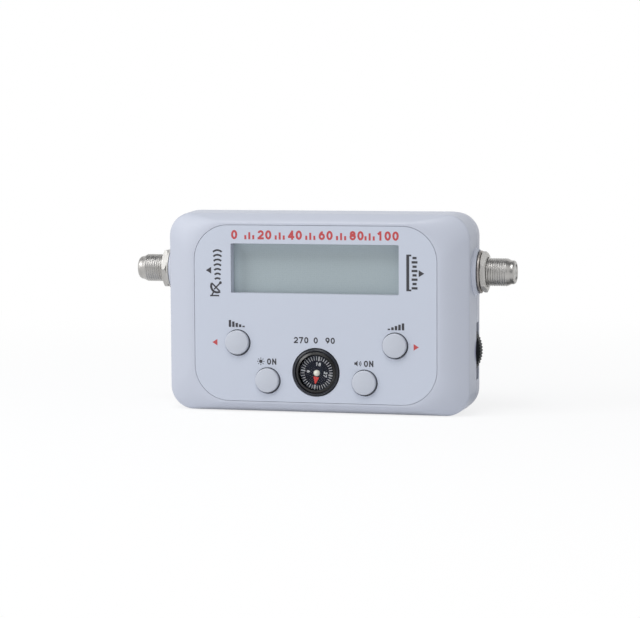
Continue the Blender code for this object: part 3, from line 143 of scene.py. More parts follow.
def studio_floor():
    """Pale matt paint that shows as white to the camera, a little less so where the meter's shadow falls."""
    half = FLOOR_SIZE / 2
    _, tree = flat_board("floor", (0, 0, -FLOOR_DROP), (half, 0, 0), (0, half, 0))
    away = distance(tree, add_node(tree, "TexCoord").outputs["Object"], (0, 0, 0))
    white = ramp(tree, away, 0.0, SHADOW_REACH, FLOOR_WHITE_NEAR, 1.0, "SMOOTHSTEP")
    share = maths(tree, "MULTIPLY", seen_rays(tree), white)
    matt = add_node(tree, "BsdfDiffuse", {"Color": (*FLOOR_COLOUR, 1)})
    glow = add_node(tree, "Emission", {"Color": (1, 1, 1, 1), "Strength": 1.0})
    mix = add_node(tree, "MixShader", {0: share, 1: matt.outputs[0], 2: glow.outputs[0]})
    add_node(tree, "OutputMaterial", {"Surface": mix.outputs[0]})


def grey_card(name, shade, centre, across, upwards):
    card, tree = flat_board(name, centre, across, upwards)
    matt = add_node(tree, "BsdfDiffuse", {"Color": (shade, shade, shade, 1)})
    add_node(tree, "OutputMaterial", {"Surface": matt.outputs[0]})
    card.visible_camera = card.visible_diffuse = card.visible_shadow = False


def studio_room():
    room = bpy.data.worlds.new("room")
    bpy.context.scene.world = room
    room.use_nodes = True
    tree = room.node_tree
    tree.nodes.clear()
    fill = add_node(tree, "Background", {"Color": (*ROOM_COLOUR, 1), "Strength": ROOM_LEVEL})
    white = add_node(tree, "Background", {"Color": (1, 1, 1, 1), "Strength": 1.0})
    mix = add_node(tree, "MixShader", {0: seen_rays(tree), 1: fill.outputs[0], 2: white.outputs[0]})
    add_node(tree, "OutputWorld", {"Surface": mix.outputs[0]})


def soft_lamp(name, place, aim, size, power):
    """A square soft box at a place, turned towards the point it lights."""
    light = bpy.data.lights.new(name, "AREA")
    light.size = size
    light.energy = power
    lamp = add_object(name, light)
    lamp.location = place
    lamp.rotation_euler = (Vector(aim) - Vector(place)).to_track_quat("-Z", "Y").to_euler()


def studio_camera():
    view = bpy.data.cameras.new("camera")
    view.lens, view.sensor_width = CAMERA_LENS, CAMERA_SENSOR
    view.clip_start, view.clip_end = CAMERA_NEAR, CAMERA_FAR
    ahead = Vector((-sin(CAMERA_YAW), cos(CAMERA_YAW), 0)) * cos(CAMERA_PITCH)
    ahead.z = -sin(CAMERA_PITCH)
    right = Vector((cos(CAMERA_YAW), sin(CAMERA_YAW), 0))
    turn = Matrix.Rotation(-CAMERA_ROLL, 3, ahead)
    axes = Matrix((turn @ right, turn @ right.cross(ahead), -ahead)).transposed()
    camera = add_object("camera", view)
    camera.matrix_world = Matrix.Translation(CAMERA_PLACE) @ axes.to_4x4()
    bpy.context.scene.camera = camera


studio_floor()
studio_room()
for name, lamp in LAMPS.items():
    soft_lamp(name, *lamp)
for name, card in CARDS.items():
    grey_card(name, *card)
studio_camera()
bpy.context.scene.view_settings.view_transform = "Standard"


# Case. Two shells moulded in pale blue-grey ABS with a fine satin grain, and painted shade before the gain
# wheel.
# The front one has the crowned face, the openings, the posts and half of each socket's seat. The back one
# carries the lip that stands in the front's rebate.

FRONT_Y = -0.013
CASE_HALF_WIDTH = 0.0527
CASE_HEIGHT = 0.0680
CASE_DEPTH = 0.0260
CASE_CORNER = 0.0085
CASE_WALL = 0.0022
CASE_COLOUR = (0.518, 0.545, 0.622)
DRAFT = 0.0005
PARTING = 0.0145
PARTING_GAP = 0.0003
FRONT_RIM = PARTING - PARTING_GAP / 2
BACK_RIM = PARTING + PARTING_GAP / 2
PARTING_EDGE = 0.0001
CROWN_DEPTH = 0.0045
CROWN_SIDE = 0.0096
CROWN_END = 0.0033
CROWN_CORNER = 0.0125
CROWN_POWER = 1.6
CREASE_SHARE = 0.94
CREASE_BACK = 0.0006
CREASE_STEPS = 6
WALL_STEPS = 4
BACK_EDGE = 0.0040
BACK_STEPS = 10
LIP_INSET = 0.0013
LIP_THICKNESS = 0.00075
LIP_HEIGHT = 0.0012
LIP_CLEAR = 0.0030
REBATE_INSET = 0.0010
GAP = 0.0003
OVERRUN = 0.0010
SOCKET_Z = CASE_HEIGHT * 0.703
BOSS_FACE = 0.0537
BOSS_TOP = 0.0077
BOSS_FOOT = 0.0084
BOSS_EDGE = 0.0003
BOSS_STEPS = 8
SOCKET_HOLE = 0.0050
WINDOW_HALF_WIDTH = 0.0291
WINDOW_HALF_HEIGHT = 0.0084
WINDOW_Z = 0.0490
WINDOW_CORNER = 0.0004
WINDOW_COLLAR = 0.0012
WINDOW_DEPTH = 0.0039
KEY_PLACES = {
    "left_attenuator": (-0.02685, 0.0237),
    "right_attenuator": (0.02785, 0.0237),
    "light": (-0.01635, 0.0110),
    "buzzer": (0.01735, 0.0110),
}
KEY_HOLE = 0.0045
COMPASS_X = 0.0005
COMPASS_Z = 0.0142
COMPASS_HOLE = 0.00825
COMPASS_COLLAR = 0.00945
COLLAR_DEPTH = 0.0052
FILM_MARGIN = 0.0006
FILM_THICKNESS = 0.0003
FILM_GROOVE = 0.00013
SOFT_EDGE = 0.00006
CASE_POSTS = [(side * 0.0468, z) for z in (0.0059, 0.0621) for side in (-1, 1)]
BOARD_POSTS = [(side * 0.0372, z) for z in (0.0078, 0.0602) for side in (-1, 1)]
CASE_POST_RADIUS = 0.0030
POST_SIDES = 26
PILOT_SIDES = 24
BOARD_POST_RADIUS = 0.0023
BOARD_FRONT = 0.0095
CASE_PILOT = 0.0014
CASE_PILOT_FRONT = 0.0087
BOARD_PILOT = 0.0012
BOARD_PILOT_FRONT = 0.0062
SCREW_SEAT = 0.0025
SCREW_SEAT_DEPTH = 0.0024
WHEEL_Z = 0.0209
SLOT_HALF_LENGTH = 0.0097
SLOT_FRONT = 0.0123
SLOT_BACK = 0.0203
SLOT_INNER = 0.0490
SCALLOP_HALF_LENGTH = 0.0044
SCALLOP_SINK = 0.0002
# Painted bluish shade over the finger relief beside the gain wheel: its reach, the share of it at full
# strength, that strength and its colour.
RELIEF_SHADE_REACH = (0.0020, 0.0046, 0.0054)
RELIEF_SHADE_CORE = 0.15
RELIEF_SHADE_STRENGTH = 0.9
RELIEF_SHADE_COLOUR = (0.20, 0.21, 0.33)
SHARP = radians(35)
WELD = 0.0000005


def at_depth(depth):
    return FRONT_Y + depth


def put(name, shape):
    """A new object in the scene from a bmesh, its faces turned outwards."""
    bmesh.ops.recalc_face_normals(shape, faces=shape.faces)
    mesh = bpy.data.meshes.new(name)
    shape.to_mesh(mesh)
    shape.free()
    return add_object(name, mesh)


def settle(piece):
    """Keeps the mesh that the modifiers give, and drops the modifiers."""
    bpy.context.view_layer.update()
    graph = bpy.context.evaluated_depsgraph_get()
    mesh = bpy.data.meshes.new_from_object(piece.evaluated_get(graph))
    piece.modifiers.clear()
    piece.data = mesh
    return piece


def weld(piece):
    """Joins points that a cut has left closer than a hair."""
    shape = bmesh.new()
    shape.from_mesh(piece.data)
    bmesh.ops.remove_doubles(shape, verts=shape.verts, dist=WELD)
    bmesh.ops.dissolve_degenerate(shape, edges=shape.edges, dist=WELD)
    shape.to_mesh(piece.data)
    shape.free()


def carve(piece, operation, *tools):
    """Joins, cuts or trims a piece by tools, and removes the tools."""
    for tool in tools:
        boolean = piece.modifiers.new(tool.name, "BOOLEAN")
        boolean.operation = operation
        boolean.object = tool
        weld(settle(piece))
        bpy.data.objects.remove(tool, do_unlink=True)
    return piece


def smooth(piece, sharp=SHARP, flats=False):
    """Shades a piece smooth up to an angle. `flats` keeps large flat faces from bending the shade."""
    piece.data.shade_smooth()
    piece.data.set_sharp_from_angle(angle=sharp)
    if flats:
        weights = piece.modifiers.new("flats", "WEIGHTED_NORMAL")
        weights.keep_sharp = True
        settle(piece)
    return piece


def shares(steps, first=0):
    """Even shares up to 1, from 0 or from a later step."""
    return [step / steps for step in range(first, steps + 1)]


def arc(x, z, radius, start, end, steps):
    """Points of an arc from one angle to another, in degrees, both ends included."""
    angles = [radians(start + (end - start) * share) for share in shares(steps)]
    return [(x + radius * cos(a), z + radius * sin(a)) for a in angles]


def circle(x, z, radius, steps=72):
    return arc(x, z, radius, 0, 360, steps)[:-1]


def quarter(steps):
    """The sine and cosine of even angles from 0 to 90 degrees."""
    angles = [radians(90 * share) for share in shares(steps)]
    return [(sin(a), cos(a)) for a in angles]


def round_box(half_width, low, high, radius, steps=20):
    """A rectangle with round corners, centred on x = 0, seen from the front."""
    right, bottom, top = half_width - radius, low + radius, high - radius
    points = []
    for x, z, start in ((right, bottom, 270), (right, top, 0), (-right, top, 90), (-right, bottom, 180)):
        points += arc(x, z, radius, start, start + 90, steps)
    return points


def skin(name, rows, loop=False):
    """A closed surface over rows of points, each a ring or one point. `loop` joins the last to the first."""
    shape = bmesh.new()
    rings = [[shape.verts.new(point) for point in row] for row in rows]
    pairs = list(zip(rings, rings[1:] + rings[:1]))
    for one, two in pairs if loop else pairs[:-1]:
        for i in range(max(len(ring) for ring in rings)):
            corners = ((one, i), (one, i + 1), (two, i + 1), (two, i))
            face = list(dict.fromkeys(ring[step % len(ring)] for ring, step in corners))
            if len(face) > 2:
                shape.faces.new(face)
    for end in () if loop else (rings[0], rings[-1]):
        if len(end) > 2:
            shape.faces.new(end)
    return put(name, shape)


def loft(name, rings, loop=False):
    """A skin over rings of (outline, depth)."""
    return skin(name, [[(x, at_depth(depth), z) for x, z in outline] for outline, depth in rings], loop)


def turned(name, profile, place, axis, steps=72, loop=False):
    """A profile of (radius, distance along the axis) points turned about a line."""
    side = axis.orthogonal().normalized()
    other = axis.cross(side)
    rows = []
    for radius, along in profile:
        angles = [tau * step / steps for step in range(steps if radius else 1)]
        centre = place + axis * along
        rows.append([centre + (side * cos(a) + other * sin(a)) * radius for a in angles])
    return skin(name, rows, loop)


def gather(name, pieces):
    """One object from several, which stay where they are."""
    shape = bmesh.new()
    for piece in pieces:
        shape.from_mesh(piece.data)
        bpy.data.objects.remove(piece, do_unlink=True)
    return put(name, shape)


def bars(name, places, radius, front, back, steps=48):
    """Round bars along the depth, in one object."""
    rods = []
    for x, z in places:
        rods.append(loft("rod", [(circle(x, z, radius, steps), depth) for depth in (front, back)]))
    return gather(name, rods)


def block(name, low, high):
    """A box between two corners of (x, depth, z)."""
    (left, front, bottom), (right, back, top) = low, high
    outline = [(left, bottom), (right, bottom), (right, top), (left, top)]
    return loft(name, [(outline, front), (outline, back)])


def plate(name, outlines, front, back):
    """A flat piece between two depths: the first outline is its edge, and the others are its holes."""
    curve = bpy.data.curves.new(name, "CURVE")
    curve.dimensions = "2D"
    curve.fill_mode = "BOTH"
    curve.extrude = (back - front) / 2
    for outline in outlines:
        spline = curve.splines.new("POLY")
        spline.points.add(len(outline) - 1)
        for point, (x, z) in zip(spline.points, outline):
            point.co = (x, z, 0, 1)
        spline.use_cyclic_u = True
    guide = add_object(name, curve)
    bpy.context.view_layer.update()
    flat = guide.evaluated_get(bpy.context.evaluated_depsgraph_get())
    shape = bmesh.new()
    shape.from_mesh(bpy.data.meshes.new_from_object(flat))
    bpy.data.objects.remove(guide, do_unlink=True)
    bmesh.ops.remove_doubles(shape, verts=shape.verts, dist=2 * WELD)
    upright = Matrix.Rotation(radians(90), 4, "X")
    upright.translation = (0, at_depth((front + back) / 2), 0)
    bmesh.ops.transform(shape, matrix=upright, verts=shape.verts)
    return put(name, shape)


def case_outline(inset):
    return round_box(CASE_HALF_WIDTH - inset, inset, CASE_HEIGHT - inset, CASE_CORNER - inset)


def crown_sizes(share, inset=0.0):
    """Half width, low, high, corner radius and depth of the crown, from the flat at 0 to the crease at 1."""
    left = 1 - share
    half_width = CASE_HALF_WIDTH - DRAFT - CROWN_SIDE * left - inset
    low, high = CROWN_END * left + inset, CASE_HEIGHT - DRAFT - CROWN_END * left - inset
    corner = (CASE_CORNER - DRAFT) * share + CROWN_CORNER * left - inset
    return Vector((half_width, low, high, corner, CROWN_DEPTH * share**CROWN_POWER + inset))


def ring_of(sizes):
    half_width, low, high, radius, depth = sizes
    return round_box(half_width, low, high, radius), depth


def wall_sizes(depth, inset=0.0):
    """The side wall's outline at a depth between the crease and the parting line."""
    share = (PARTING - depth) / (PARTING - CROWN_DEPTH)
    draw = DRAFT * share + inset
    return Vector((CASE_HALF_WIDTH - draw, inset, CASE_HEIGHT - draw, CASE_CORNER - draw, depth))


def front_rings(inset=0.0, end=FRONT_RIM, steps=16):
    """Rings from the flat of the face over the crown, a soft crease and the side wall to the parting line."""
    rings = [ring_of(crown_sizes(CREASE_SHARE * share, inset)) for share in shares(steps)]
    start, corner = crown_sizes(CREASE_SHARE, inset), crown_sizes(1, inset)
    finish = wall_sizes(CROWN_DEPTH + inset + CREASE_BACK, inset)
    for s in shares(CREASE_STEPS, 1):
        rings.append(ring_of(start * (1 - s) ** 2 + corner * (2 * s * (1 - s)) + finish * s**2))
    for s in shares(WALL_STEPS, 1):
        rings.append(ring_of(wall_sizes(finish[4] + (end - PARTING_EDGE - finish[4]) * s, inset)))
    return rings


def back_rings(inset=0.0):
    """Rings of the back edge's rounding, from the side wall to the back face."""
    rings = []
    for sine, cosine in quarter(BACK_STEPS):
        sink = BACK_EDGE * (1 - cosine)
        draw = DRAFT + sink + inset
        outline = round_box(CASE_HALF_WIDTH - draw, sink + inset, CASE_HEIGHT - draw, CASE_CORNER - draw)
        rings.append((outline, CASE_DEPTH - BACK_EDGE * (1 - sine) - inset))
    return rings


def window_outline(margin=0.0, corner=WINDOW_CORNER):
    low, high = WINDOW_Z - WINDOW_HALF_HEIGHT - margin, WINDOW_Z + WINDOW_HALF_HEIGHT + margin
    return round_box(WINDOW_HALF_WIDTH + margin, low, high, corner, 4)


def film_outline(margin):
    """The face film's edge, or a line outside it."""
    sink = FILM_MARGIN - margin
    half_width, low, high, radius, _ = crown_sizes(0)
    return round_box(half_width - sink, low + sink, high - sink, radius - sink)


def seat_bosses(front, back):
    """The raised seats of the sockets' washers, each with a hollow foot, between two depths."""
    profile = arc(BOSS_TOP - BOSS_EDGE, BOSS_FACE - BOSS_EDGE, BOSS_EDGE, 90, 10, 5)
    rise = BOSS_FACE - BOSS_EDGE - CASE_HALF_WIDTH
    for s in shares(BOSS_STEPS, 1):
        profile.append((BOSS_TOP + (BOSS_FOOT - BOSS_TOP) * s**2, BOSS_FACE - BOSS_EDGE - rise * s))
    profile.append((BOSS_FOOT, CASE_HALF_WIDTH - REBATE_INSET + GAP))
    place = Vector((0, at_depth(PARTING), SOCKET_Z))
    reach = BOSS_FACE + OVERRUN
    bosses = []
    for side in (-1, 1):
        boss = turned(f"boss{side}", profile, place, Vector((side, 0, 0)), 96)
        kept = block("kept", (-reach, front, 0), (reach, back, CASE_HEIGHT))
        bosses.append(carve(boss, "INTERSECT", kept))
    return bosses


def socket_holes():
    place = Vector((0, at_depth(PARTING), SOCKET_Z))
    reach = BOSS_FACE + OVERRUN
    return turned("holes", [(SOCKET_HOLE, -reach), (SOCKET_HOLE, reach)], place, Vector((1, 0, 0)))


def front_posts():
    """Screw posts from the inside of the crown to the parting line and to the board, clear of the rebate."""
    floor = PARTING - LIP_HEIGHT - GAP
    rings = front_rings(CASE_WALL / 2, floor, 8)[:-1]
    rings += [(case_outline(CASE_WALL / 2), floor), (case_outline(LIP_CLEAR), floor)]
    core = loft("core", [*rings, (case_outline(LIP_CLEAR), FRONT_RIM)])
    case_posts = bars("case_posts", CASE_POSTS, CASE_POST_RADIUS, 0, PARTING, POST_SIDES)
    board_posts = bars("board_posts", BOARD_POSTS, BOARD_POST_RADIUS, 0, BOARD_FRONT - GAP, POST_SIDES)
    posts = carve(case_posts, "UNION", board_posts)
    return carve(posts, "INTERSECT", core)


def face_openings():
    """What is cut from the face: the window, the key holes and the compass hole."""
    window = plate("window", [window_outline()], -OVERRUN, WINDOW_DEPTH + OVERRUN)
    holes = bars("key_holes", KEY_PLACES.values(), KEY_HOLE, -OVERRUN, CASE_WALL + OVERRUN)
    back = COLLAR_DEPTH + OVERRUN
    compass = bars("compass_hole", [(COMPASS_X, COMPASS_Z)], COMPASS_HOLE, -OVERRUN, back, 96)
    return window, holes, compass


def finger_scallop():
    """A ball that sinks a finger relief into the side wall before the gain wheel."""
    radius = (SCALLOP_HALF_LENGTH**2 + SCALLOP_SINK**2) / (2 * SCALLOP_SINK)
    shape = bmesh.new()
    bmesh.ops.create_uvsphere(shape, u_segments=128, v_segments=96, radius=radius)
    place = Vector((CASE_HALF_WIDTH + radius - SCALLOP_SINK, at_depth(PARTING), WHEEL_Z))
    bmesh.ops.translate(shape, vec=place, verts=shape.verts)
    return put("scallop", shape)


def noise(tree, place, scale, detail, roughness=0.5):
    inputs = {"Vector": place, "Scale": scale, "Detail": detail, "Roughness": roughness}
    return add_node(tree, "TexNoise", inputs).outputs["Fac"]


def mask_group(name, settings, masks):
    """A group of shader nodes that turns a place on the piece, and some settings, into masks."""
    group = bpy.data.node_groups.new(name, "ShaderNodeTree")
    for label, kind in {"Place": "Vector", **settings}.items():
        group.interface.new_socket(label, in_out="INPUT", socket_type="NodeSocket" + kind)
    found = masks(group, group.nodes.new("NodeGroupInput").outputs)
    for label in found:
        group.interface.new_socket(label, in_out="OUTPUT", socket_type="NodeSocketFloat")
    feed(group, group.nodes.new("NodeGroupOutput"), found)
    return group


def moulded_masks(tree, given):
    """Soft clouds in the shade, rubbed spots, and the fine grain of the mould."""
    place, clouds = given["Place"], given["Cloud Scale"]
    return {
        "Cloud": noise(tree, place, clouds, 3.0),
        "Rub": noise(tree, place, maths(tree, "MULTIPLY", clouds, 9.0), 4.0, 0.65),
        "Grain": noise(tree, place, given["Grain Scale"], 2.0),
    }


MOULDED_SKIN = mask_group("moulded skin", {"Cloud Scale": "Float", "Grain Scale": "Float"}, moulded_masks)


def blank_material(name):
    """A material with an empty Principled BSDF, its tree, the shader and the piece's own coordinates."""
    material = bpy.data.materials.new(name)
    material.use_nodes = True
    tree = material.node_tree
    shader = tree.nodes["Principled BSDF"]
    return material, tree, shader, add_node(tree, "TexCoord").outputs["Object"]


def spread(tree, mask, low, high):
    """A noise's usual range stretched between two values."""
    return ramp(tree, mask, 0.3, 0.7, low, high)


def bump(tree, mask, strength, height):
    inputs = {"Height": mask, "Strength": strength, "Distance": height}
    return add_node(tree, "Bump", inputs).outputs["Normal"]


def mix_colours(tree, mask, one, two):
    """One colour, or colour socket, where the mask is 0 and another where it is 1."""
    mix = add_node(tree, "Mix", {"Factor": mask}, data_type="RGBA")
    places = [place for place, socket in enumerate(mix.inputs) if socket.type == "RGBA"]
    ends = [end if isinstance(end, bpy.types.NodeSocket) else (*end, 1) for end in (one, two)]
    feed(tree, mix, dict(zip(places, ends)))
    return [socket for socket in mix.outputs if socket.type == "RGBA"][0]


def moulded_plastic(name, colour, roughness, clouds, grain, depth, change, shine=0.5):
    """A moulded plastic whose shade, gloss and grain change over the surface.

    `clouds` and `grain` tell how fine the marks are, `depth` how high the grain stands, and `change` by what
    share the shade differs from the colour.
    """
    material, tree, shader, place = blank_material(name)
    scales = {"Place": place, "Cloud Scale": clouds, "Grain Scale": grain}
    masks = add_node(tree, "Group", scales, node_tree=MOULDED_SKIN).outputs
    ends = [tuple(min(1.0, c * (1 + sign * change)) for c in colour) for sign in (-1, 1)]
    looks = {
        "Base Color": mix_colours(tree, spread(tree, masks["Cloud"], 0.0, 1.0), *ends),
        "Roughness": spread(tree, masks["Rub"], roughness - 0.05, roughness + 0.05),
        "Normal": bump(tree, masks["Grain"], 0.5, depth),
        "Specular IOR Level": shine,
    }
    feed(tree, shader, looks)
    return material


def dress(piece, material, body="case", stands_for=()):
    """Gives a piece its material and its body, and hides the CAD nodes that it stands for."""
    piece.data.materials.clear()
    piece.data.materials.append(material)
    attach(piece, body)
    if stands_for:
        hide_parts(*stands_for)
    return piece


CASE_PLASTIC = moulded_plastic("case_plastic", CASE_COLOUR, 0.46, 55.0, 5200.0, 0.000008, 0.012)


def paint_relief_shade():
    """Paints a darker, bluer shade over the shallow finger relief in front of the gain wheel."""
    tree = CASE_PLASTIC.node_tree
    shader = tree.nodes["Principled BSDF"]
    place = add_node(tree, "TexCoord").outputs["Object"]
    centre = (CASE_HALF_WIDTH, at_depth(PARTING), WHEEL_Z)
    away = distance(tree, place, centre, [1 / reach for reach in RELIEF_SHADE_REACH])
    # Painted shade: the case turns darker and bluer over the shallow finger relief, where its dent would shade
    # it.
    rubbed = ramp(tree, away, RELIEF_SHADE_CORE, 1.0, RELIEF_SHADE_STRENGTH, 0.0, "SMOOTHSTEP")
    unshaded = shader.inputs["Base Color"].links[0].from_socket
    feed(tree, shader, {"Base Color": mix_colours(tree, rubbed, unshaded, RELIEF_SHADE_COLOUR)})


paint_relief_shade()


def front_case():
    recess = FILM_THICKNESS + GAP
    rings = [(film_outline(FILM_GROOVE), recess), (film_outline(FILM_GROOVE), SOFT_EDGE)]
    rings += [(film_outline(FILM_GROOVE + SOFT_EDGE), 0), *front_rings()]
    rings.append((case_outline(PARTING_EDGE), FRONT_RIM))
    rebate = PARTING - LIP_HEIGHT - GAP
    rings += [(case_outline(REBATE_INSET), depth) for depth in (FRONT_RIM, rebate)]
    rings += front_rings(CASE_WALL, rebate + PARTING_EDGE, 8)[::-1]
    shell = loft("front_case", rings)
    collar = [window_outline(WINDOW_COLLAR, WINDOW_COLLAR)]
    window = plate("window_collar", collar, CASE_WALL / 2, WINDOW_DEPTH - GAP)
    compass = bars("collar", [(COMPASS_X, COMPASS_Z)], COMPASS_COLLAR, CASE_WALL / 2, COLLAR_DEPTH, 72)
    carve(shell, "UNION", front_posts(), window, compass, *seat_bosses(0, FRONT_RIM))
    pilots = [
        bars("pilots", CASE_POSTS, CASE_PILOT, CASE_PILOT_FRONT, PARTING + OVERRUN, PILOT_SIDES),
        bars("pilots", BOARD_POSTS, BOARD_PILOT, BOARD_PILOT_FRONT, BOARD_FRONT + OVERRUN, PILOT_SIDES),
    ]
    carve(shell, "DIFFERENCE", *face_openings(), *pilots, socket_holes(), finger_scallop())
    return dress(smooth(shell, flats=True), CASE_PLASTIC, stands_for=["front_shell"])


def back_case():
    rings = back_rings()[::-1]
    rings += [(case_outline(0), BACK_RIM + PARTING_EDGE), (case_outline(PARTING_EDGE), BACK_RIM)]
    lip_front = PARTING - LIP_HEIGHT
    rings += [(case_outline(LIP_INSET), depth) for depth in (BACK_RIM, lip_front)]
    rings += [(case_outline(LIP_INSET + LIP_THICKNESS), depth) for depth in (lip_front, BACK_RIM)]
    rings += [(case_outline(CASE_WALL), BACK_RIM), *back_rings(CASE_WALL)]
    shell = loft("back_case", rings)
    tubes = bars("tubes", CASE_POSTS, CASE_POST_RADIUS, BACK_RIM, CASE_DEPTH - CASE_WALL / 2, POST_SIDES)
    carve(shell, "UNION", tubes, *seat_bosses(BACK_RIM, CASE_DEPTH))
    back = CASE_DEPTH + OVERRUN
    holes = bars("screw_holes", CASE_POSTS, CASE_PILOT, PARTING - OVERRUN, back, PILOT_SIDES)
    seats = bars("screw_seats", CASE_POSTS, SCREW_SEAT, CASE_DEPTH - SCREW_SEAT_DEPTH, back)
    reach = CASE_HALF_WIDTH + OVERRUN
    low, high = WHEEL_Z - SLOT_HALF_LENGTH, WHEEL_Z + SLOT_HALF_LENGTH
    slot = block("slot", (SLOT_INNER, SLOT_FRONT, low), (reach, SLOT_BACK, high))
    carve(shell, "DIFFERENCE", holes, seats, slot, socket_holes())
    return dress(smooth(shell, flats=True), CASE_PLASTIC, stands_for=["back_shell"])


front_case()
back_case()


# Case screws. Four steel round-headed screws with a cross recess, driven from the back through the tubes into
# the front shell's posts. Their heads lie deep in round seats.

SCREW_RADIUS = 0.0011
SCREW_HEAD = 0.0022
SCREW_HEAD_HEIGHT = 0.0014
SCREW_DOME = 0.7 * SCREW_HEAD_HEIGHT
SCREW_TIP = 0.0090
CROSS_REACH = 0.0011
CROSS_HALF_WIDTH = 0.00028
CROSS_DEPTH = 0.0008
STEEL_COLOUR = (0.50, 0.50, 0.51)
METAL_CLOUDS = 420.0
TOOL_LINES = 900.0
TOOL_LINE_DEPTH = 0.000004
RUBBED_EDGE = (0.52, 0.60)


def face_turned(name, profile, x, z, steps=72, loop=False):
    """A turned piece square to the face, from (radius, depth) points."""
    return turned(name, profile, Vector((x, FRONT_Y, z)), Vector((0, 1, 0)), steps, loop)


def metal_masks(tree, given):
    """Dull clouds, fine lines along the tool's path, and edges that are rubbed bright in patches."""
    place = given["Place"]
    cloud = noise(tree, place, METAL_CLOUDS, 5.0, 0.6)
    along = add_node(tree, "VectorMath", {0: place, 1: given["Stretch"]}, operation="MULTIPLY")
    edges = ramp(tree, add_node(tree, "NewGeometry").outputs["Pointiness"], *RUBBED_EDGE)
    return {
        "Cloud": cloud,
        "Lines": noise(tree, along.outputs[0], TOOL_LINES, 2.0),
        "Edge": maths(tree, "MULTIPLY", edges, cloud),
    }


METAL_SKIN = mask_group("metal skin", {"Stretch": "Vector"}, metal_masks)


def worn_metal(name, colour, dull, bright, roughness, stretch=(1, 1, 1)):
    """A metal with dull clouds and rubbed bright edges. `dull` and `bright` are shares of its colour."""
    material, tree, shader, place = blank_material(name)
    masks = add_node(tree, "Group", {"Place": place, "Stretch": stretch}, node_tree=METAL_SKIN).outputs
    darker, lighter = (tuple(min(1.0, c * share) for c in colour) for share in (dull, bright))
    body = mix_colours(tree, spread(tree, masks["Cloud"], 0.0, 1.0), darker, colour)
    looks = {
        "Base Color": mix_colours(tree, masks["Edge"], body, lighter),
        "Roughness": spread(tree, masks["Lines"], roughness - 0.07, roughness + 0.09),
        "Normal": bump(tree, masks["Lines"], 0.6, TOOL_LINE_DEPTH),
        "Metallic": 1.0,
    }
    feed(tree, shader, looks)
    return material


STEEL = worn_metal("steel", STEEL_COLOUR, 0.72, 1.35, 0.34)


def cross_recess(x, z, top):
    """The driver's cross, sunk into a screw's head."""
    a, b = CROSS_HALF_WIDTH, CROSS_REACH
    corners = [(b, -a), (b, a), (a, a), (a, b), (-a, b), (-a, a), (-b, a), (-b, -a)]
    corners += [(-a, -a), (-a, -b), (a, -b), (a, -a)]
    outline = [(x + i, z + j) for i, j in corners]
    return plate("cross", [outline], top - CROSS_DEPTH, top + OVERRUN)


def case_screw(number, x, z):
    seat = CASE_DEPTH - SCREW_SEAT_DEPTH + GAP
    top = seat + SCREW_HEAD_HEIGHT
    profile = [(SCREW_HEAD * sine, top - SCREW_DOME * (1 - cosine)) for sine, cosine in quarter(10)]
    profile += [(SCREW_HEAD, seat), (SCREW_RADIUS, seat), (SCREW_RADIUS, SCREW_TIP + SCREW_RADIUS)]
    screw = face_turned(f"screw_{number}", [*profile, (0, SCREW_TIP)], x, z, 48)
    carve(screw, "DIFFERENCE", cross_recess(x, z, top))
    dress(smooth(screw), STEEL, stands_for=[f"case_screw_{number}"])


for number, (x, z) in enumerate(CASE_POSTS, 1):
    case_screw(number, x, z)


# Face film. Thin satin polyester, printed in the case's own grey and glued into the recess, with openings for
# the window, the keys and the compass. Its marks are screen printed in red and black: a level scale over the
# window, arrows and signs beside it, a sign over each key and numbers of degrees over the compass.

FILM_COLOUR = (0.540, 0.576, 0.660)
FILM_EDGE = 0.00005
INK = 0.00002
RED = (0.520, 0.062, 0.066)
BLACK = (0.036, 0.035, 0.043)
SCALE_Z = 0.0604
SCALE_LOW = -0.0278
SCALE_HIGH = 0.0254
SCALE_FIGURE = 0.0031
SCALE_WEIGHT = 0.23
SCALE_TICK = 0.0007
SCALE_TICKS = ((-0.0014, 0.0014), (0, 0.0024), (0.0014, 0.0014))
SCALE_SPACES = (0.5, 0.5, 0.5, 0.5, 0.42)
FIGURE_WIDTH = 0.70
FIGURE_GAP = 0.16
INK_STEP = 0.000001
ARROWS = ((-0.0370, 0.0482, 90), (0.03685, 0.0480, -90))
ARROW_SIZE = (0.0023, 0.0019)
KEY_ARROWS = ((-0.03495, 0.0237, 90), (0.03505, 0.0234, -90))
KEY_ARROW_SIZE = (0.0022, 0.0018)
WAVES_X = -0.0338
WAVES_LOW = 0.0452
WAVE_COUNT = 7
WAVE_PITCH = 0.00155
WAVE_WIDTH = 0.00062
WAVE_REACH = 0.0010
WAVE_GROWTH = 0.0001
DISH_X = -0.0347
DISH_Z = 0.0417
DISH_BOWL = 0.0021
DISH_HEAD = 0.0005
DISH_LINE = 0.0005
COLUMN_X = 0.0322
COLUMN_LOW = 0.0421
COLUMN_HIGH = 0.0543
COLUMN_WIDTH = 0.0010
COLUMN_ENDS = 0.0012
DOTS_X = 0.0345
DOTS_COUNT = 8
DOTS_PITCH = 0.00144
DOTS_HEIGHT = 0.00078
DOTS_WIDTHS = (0.0020, 0.0014)
BARS_COUNT = 5
BARS_PITCH = 0.0012
BARS_WIDTH = 0.00085
BARS_LOWEST = 0.0005
BARS_GROWTH = 0.00046
SUN_RADIUS = 0.00062
SUN_RAYS = (0.00088, 0.00128)
SUN_RAY_COUNT = 8
SUN_LINE = 0.00028
SOUND_WAVES = (0.0007, 0.0012)
SOUND_LINE = 0.00026
KEY_SIGN_RISE = 0.0065
KEY_SIGN_SHIFT = 0.0024
KEY_WORD_SHIFT = 0.0014
WORD_HEIGHT = 0.0021
COMPASS_NUMBERS = {"270": -0.0046, "0": COMPASS_X, "90": 0.0055}
COMPASS_NUMBERS_Z = 0.0250


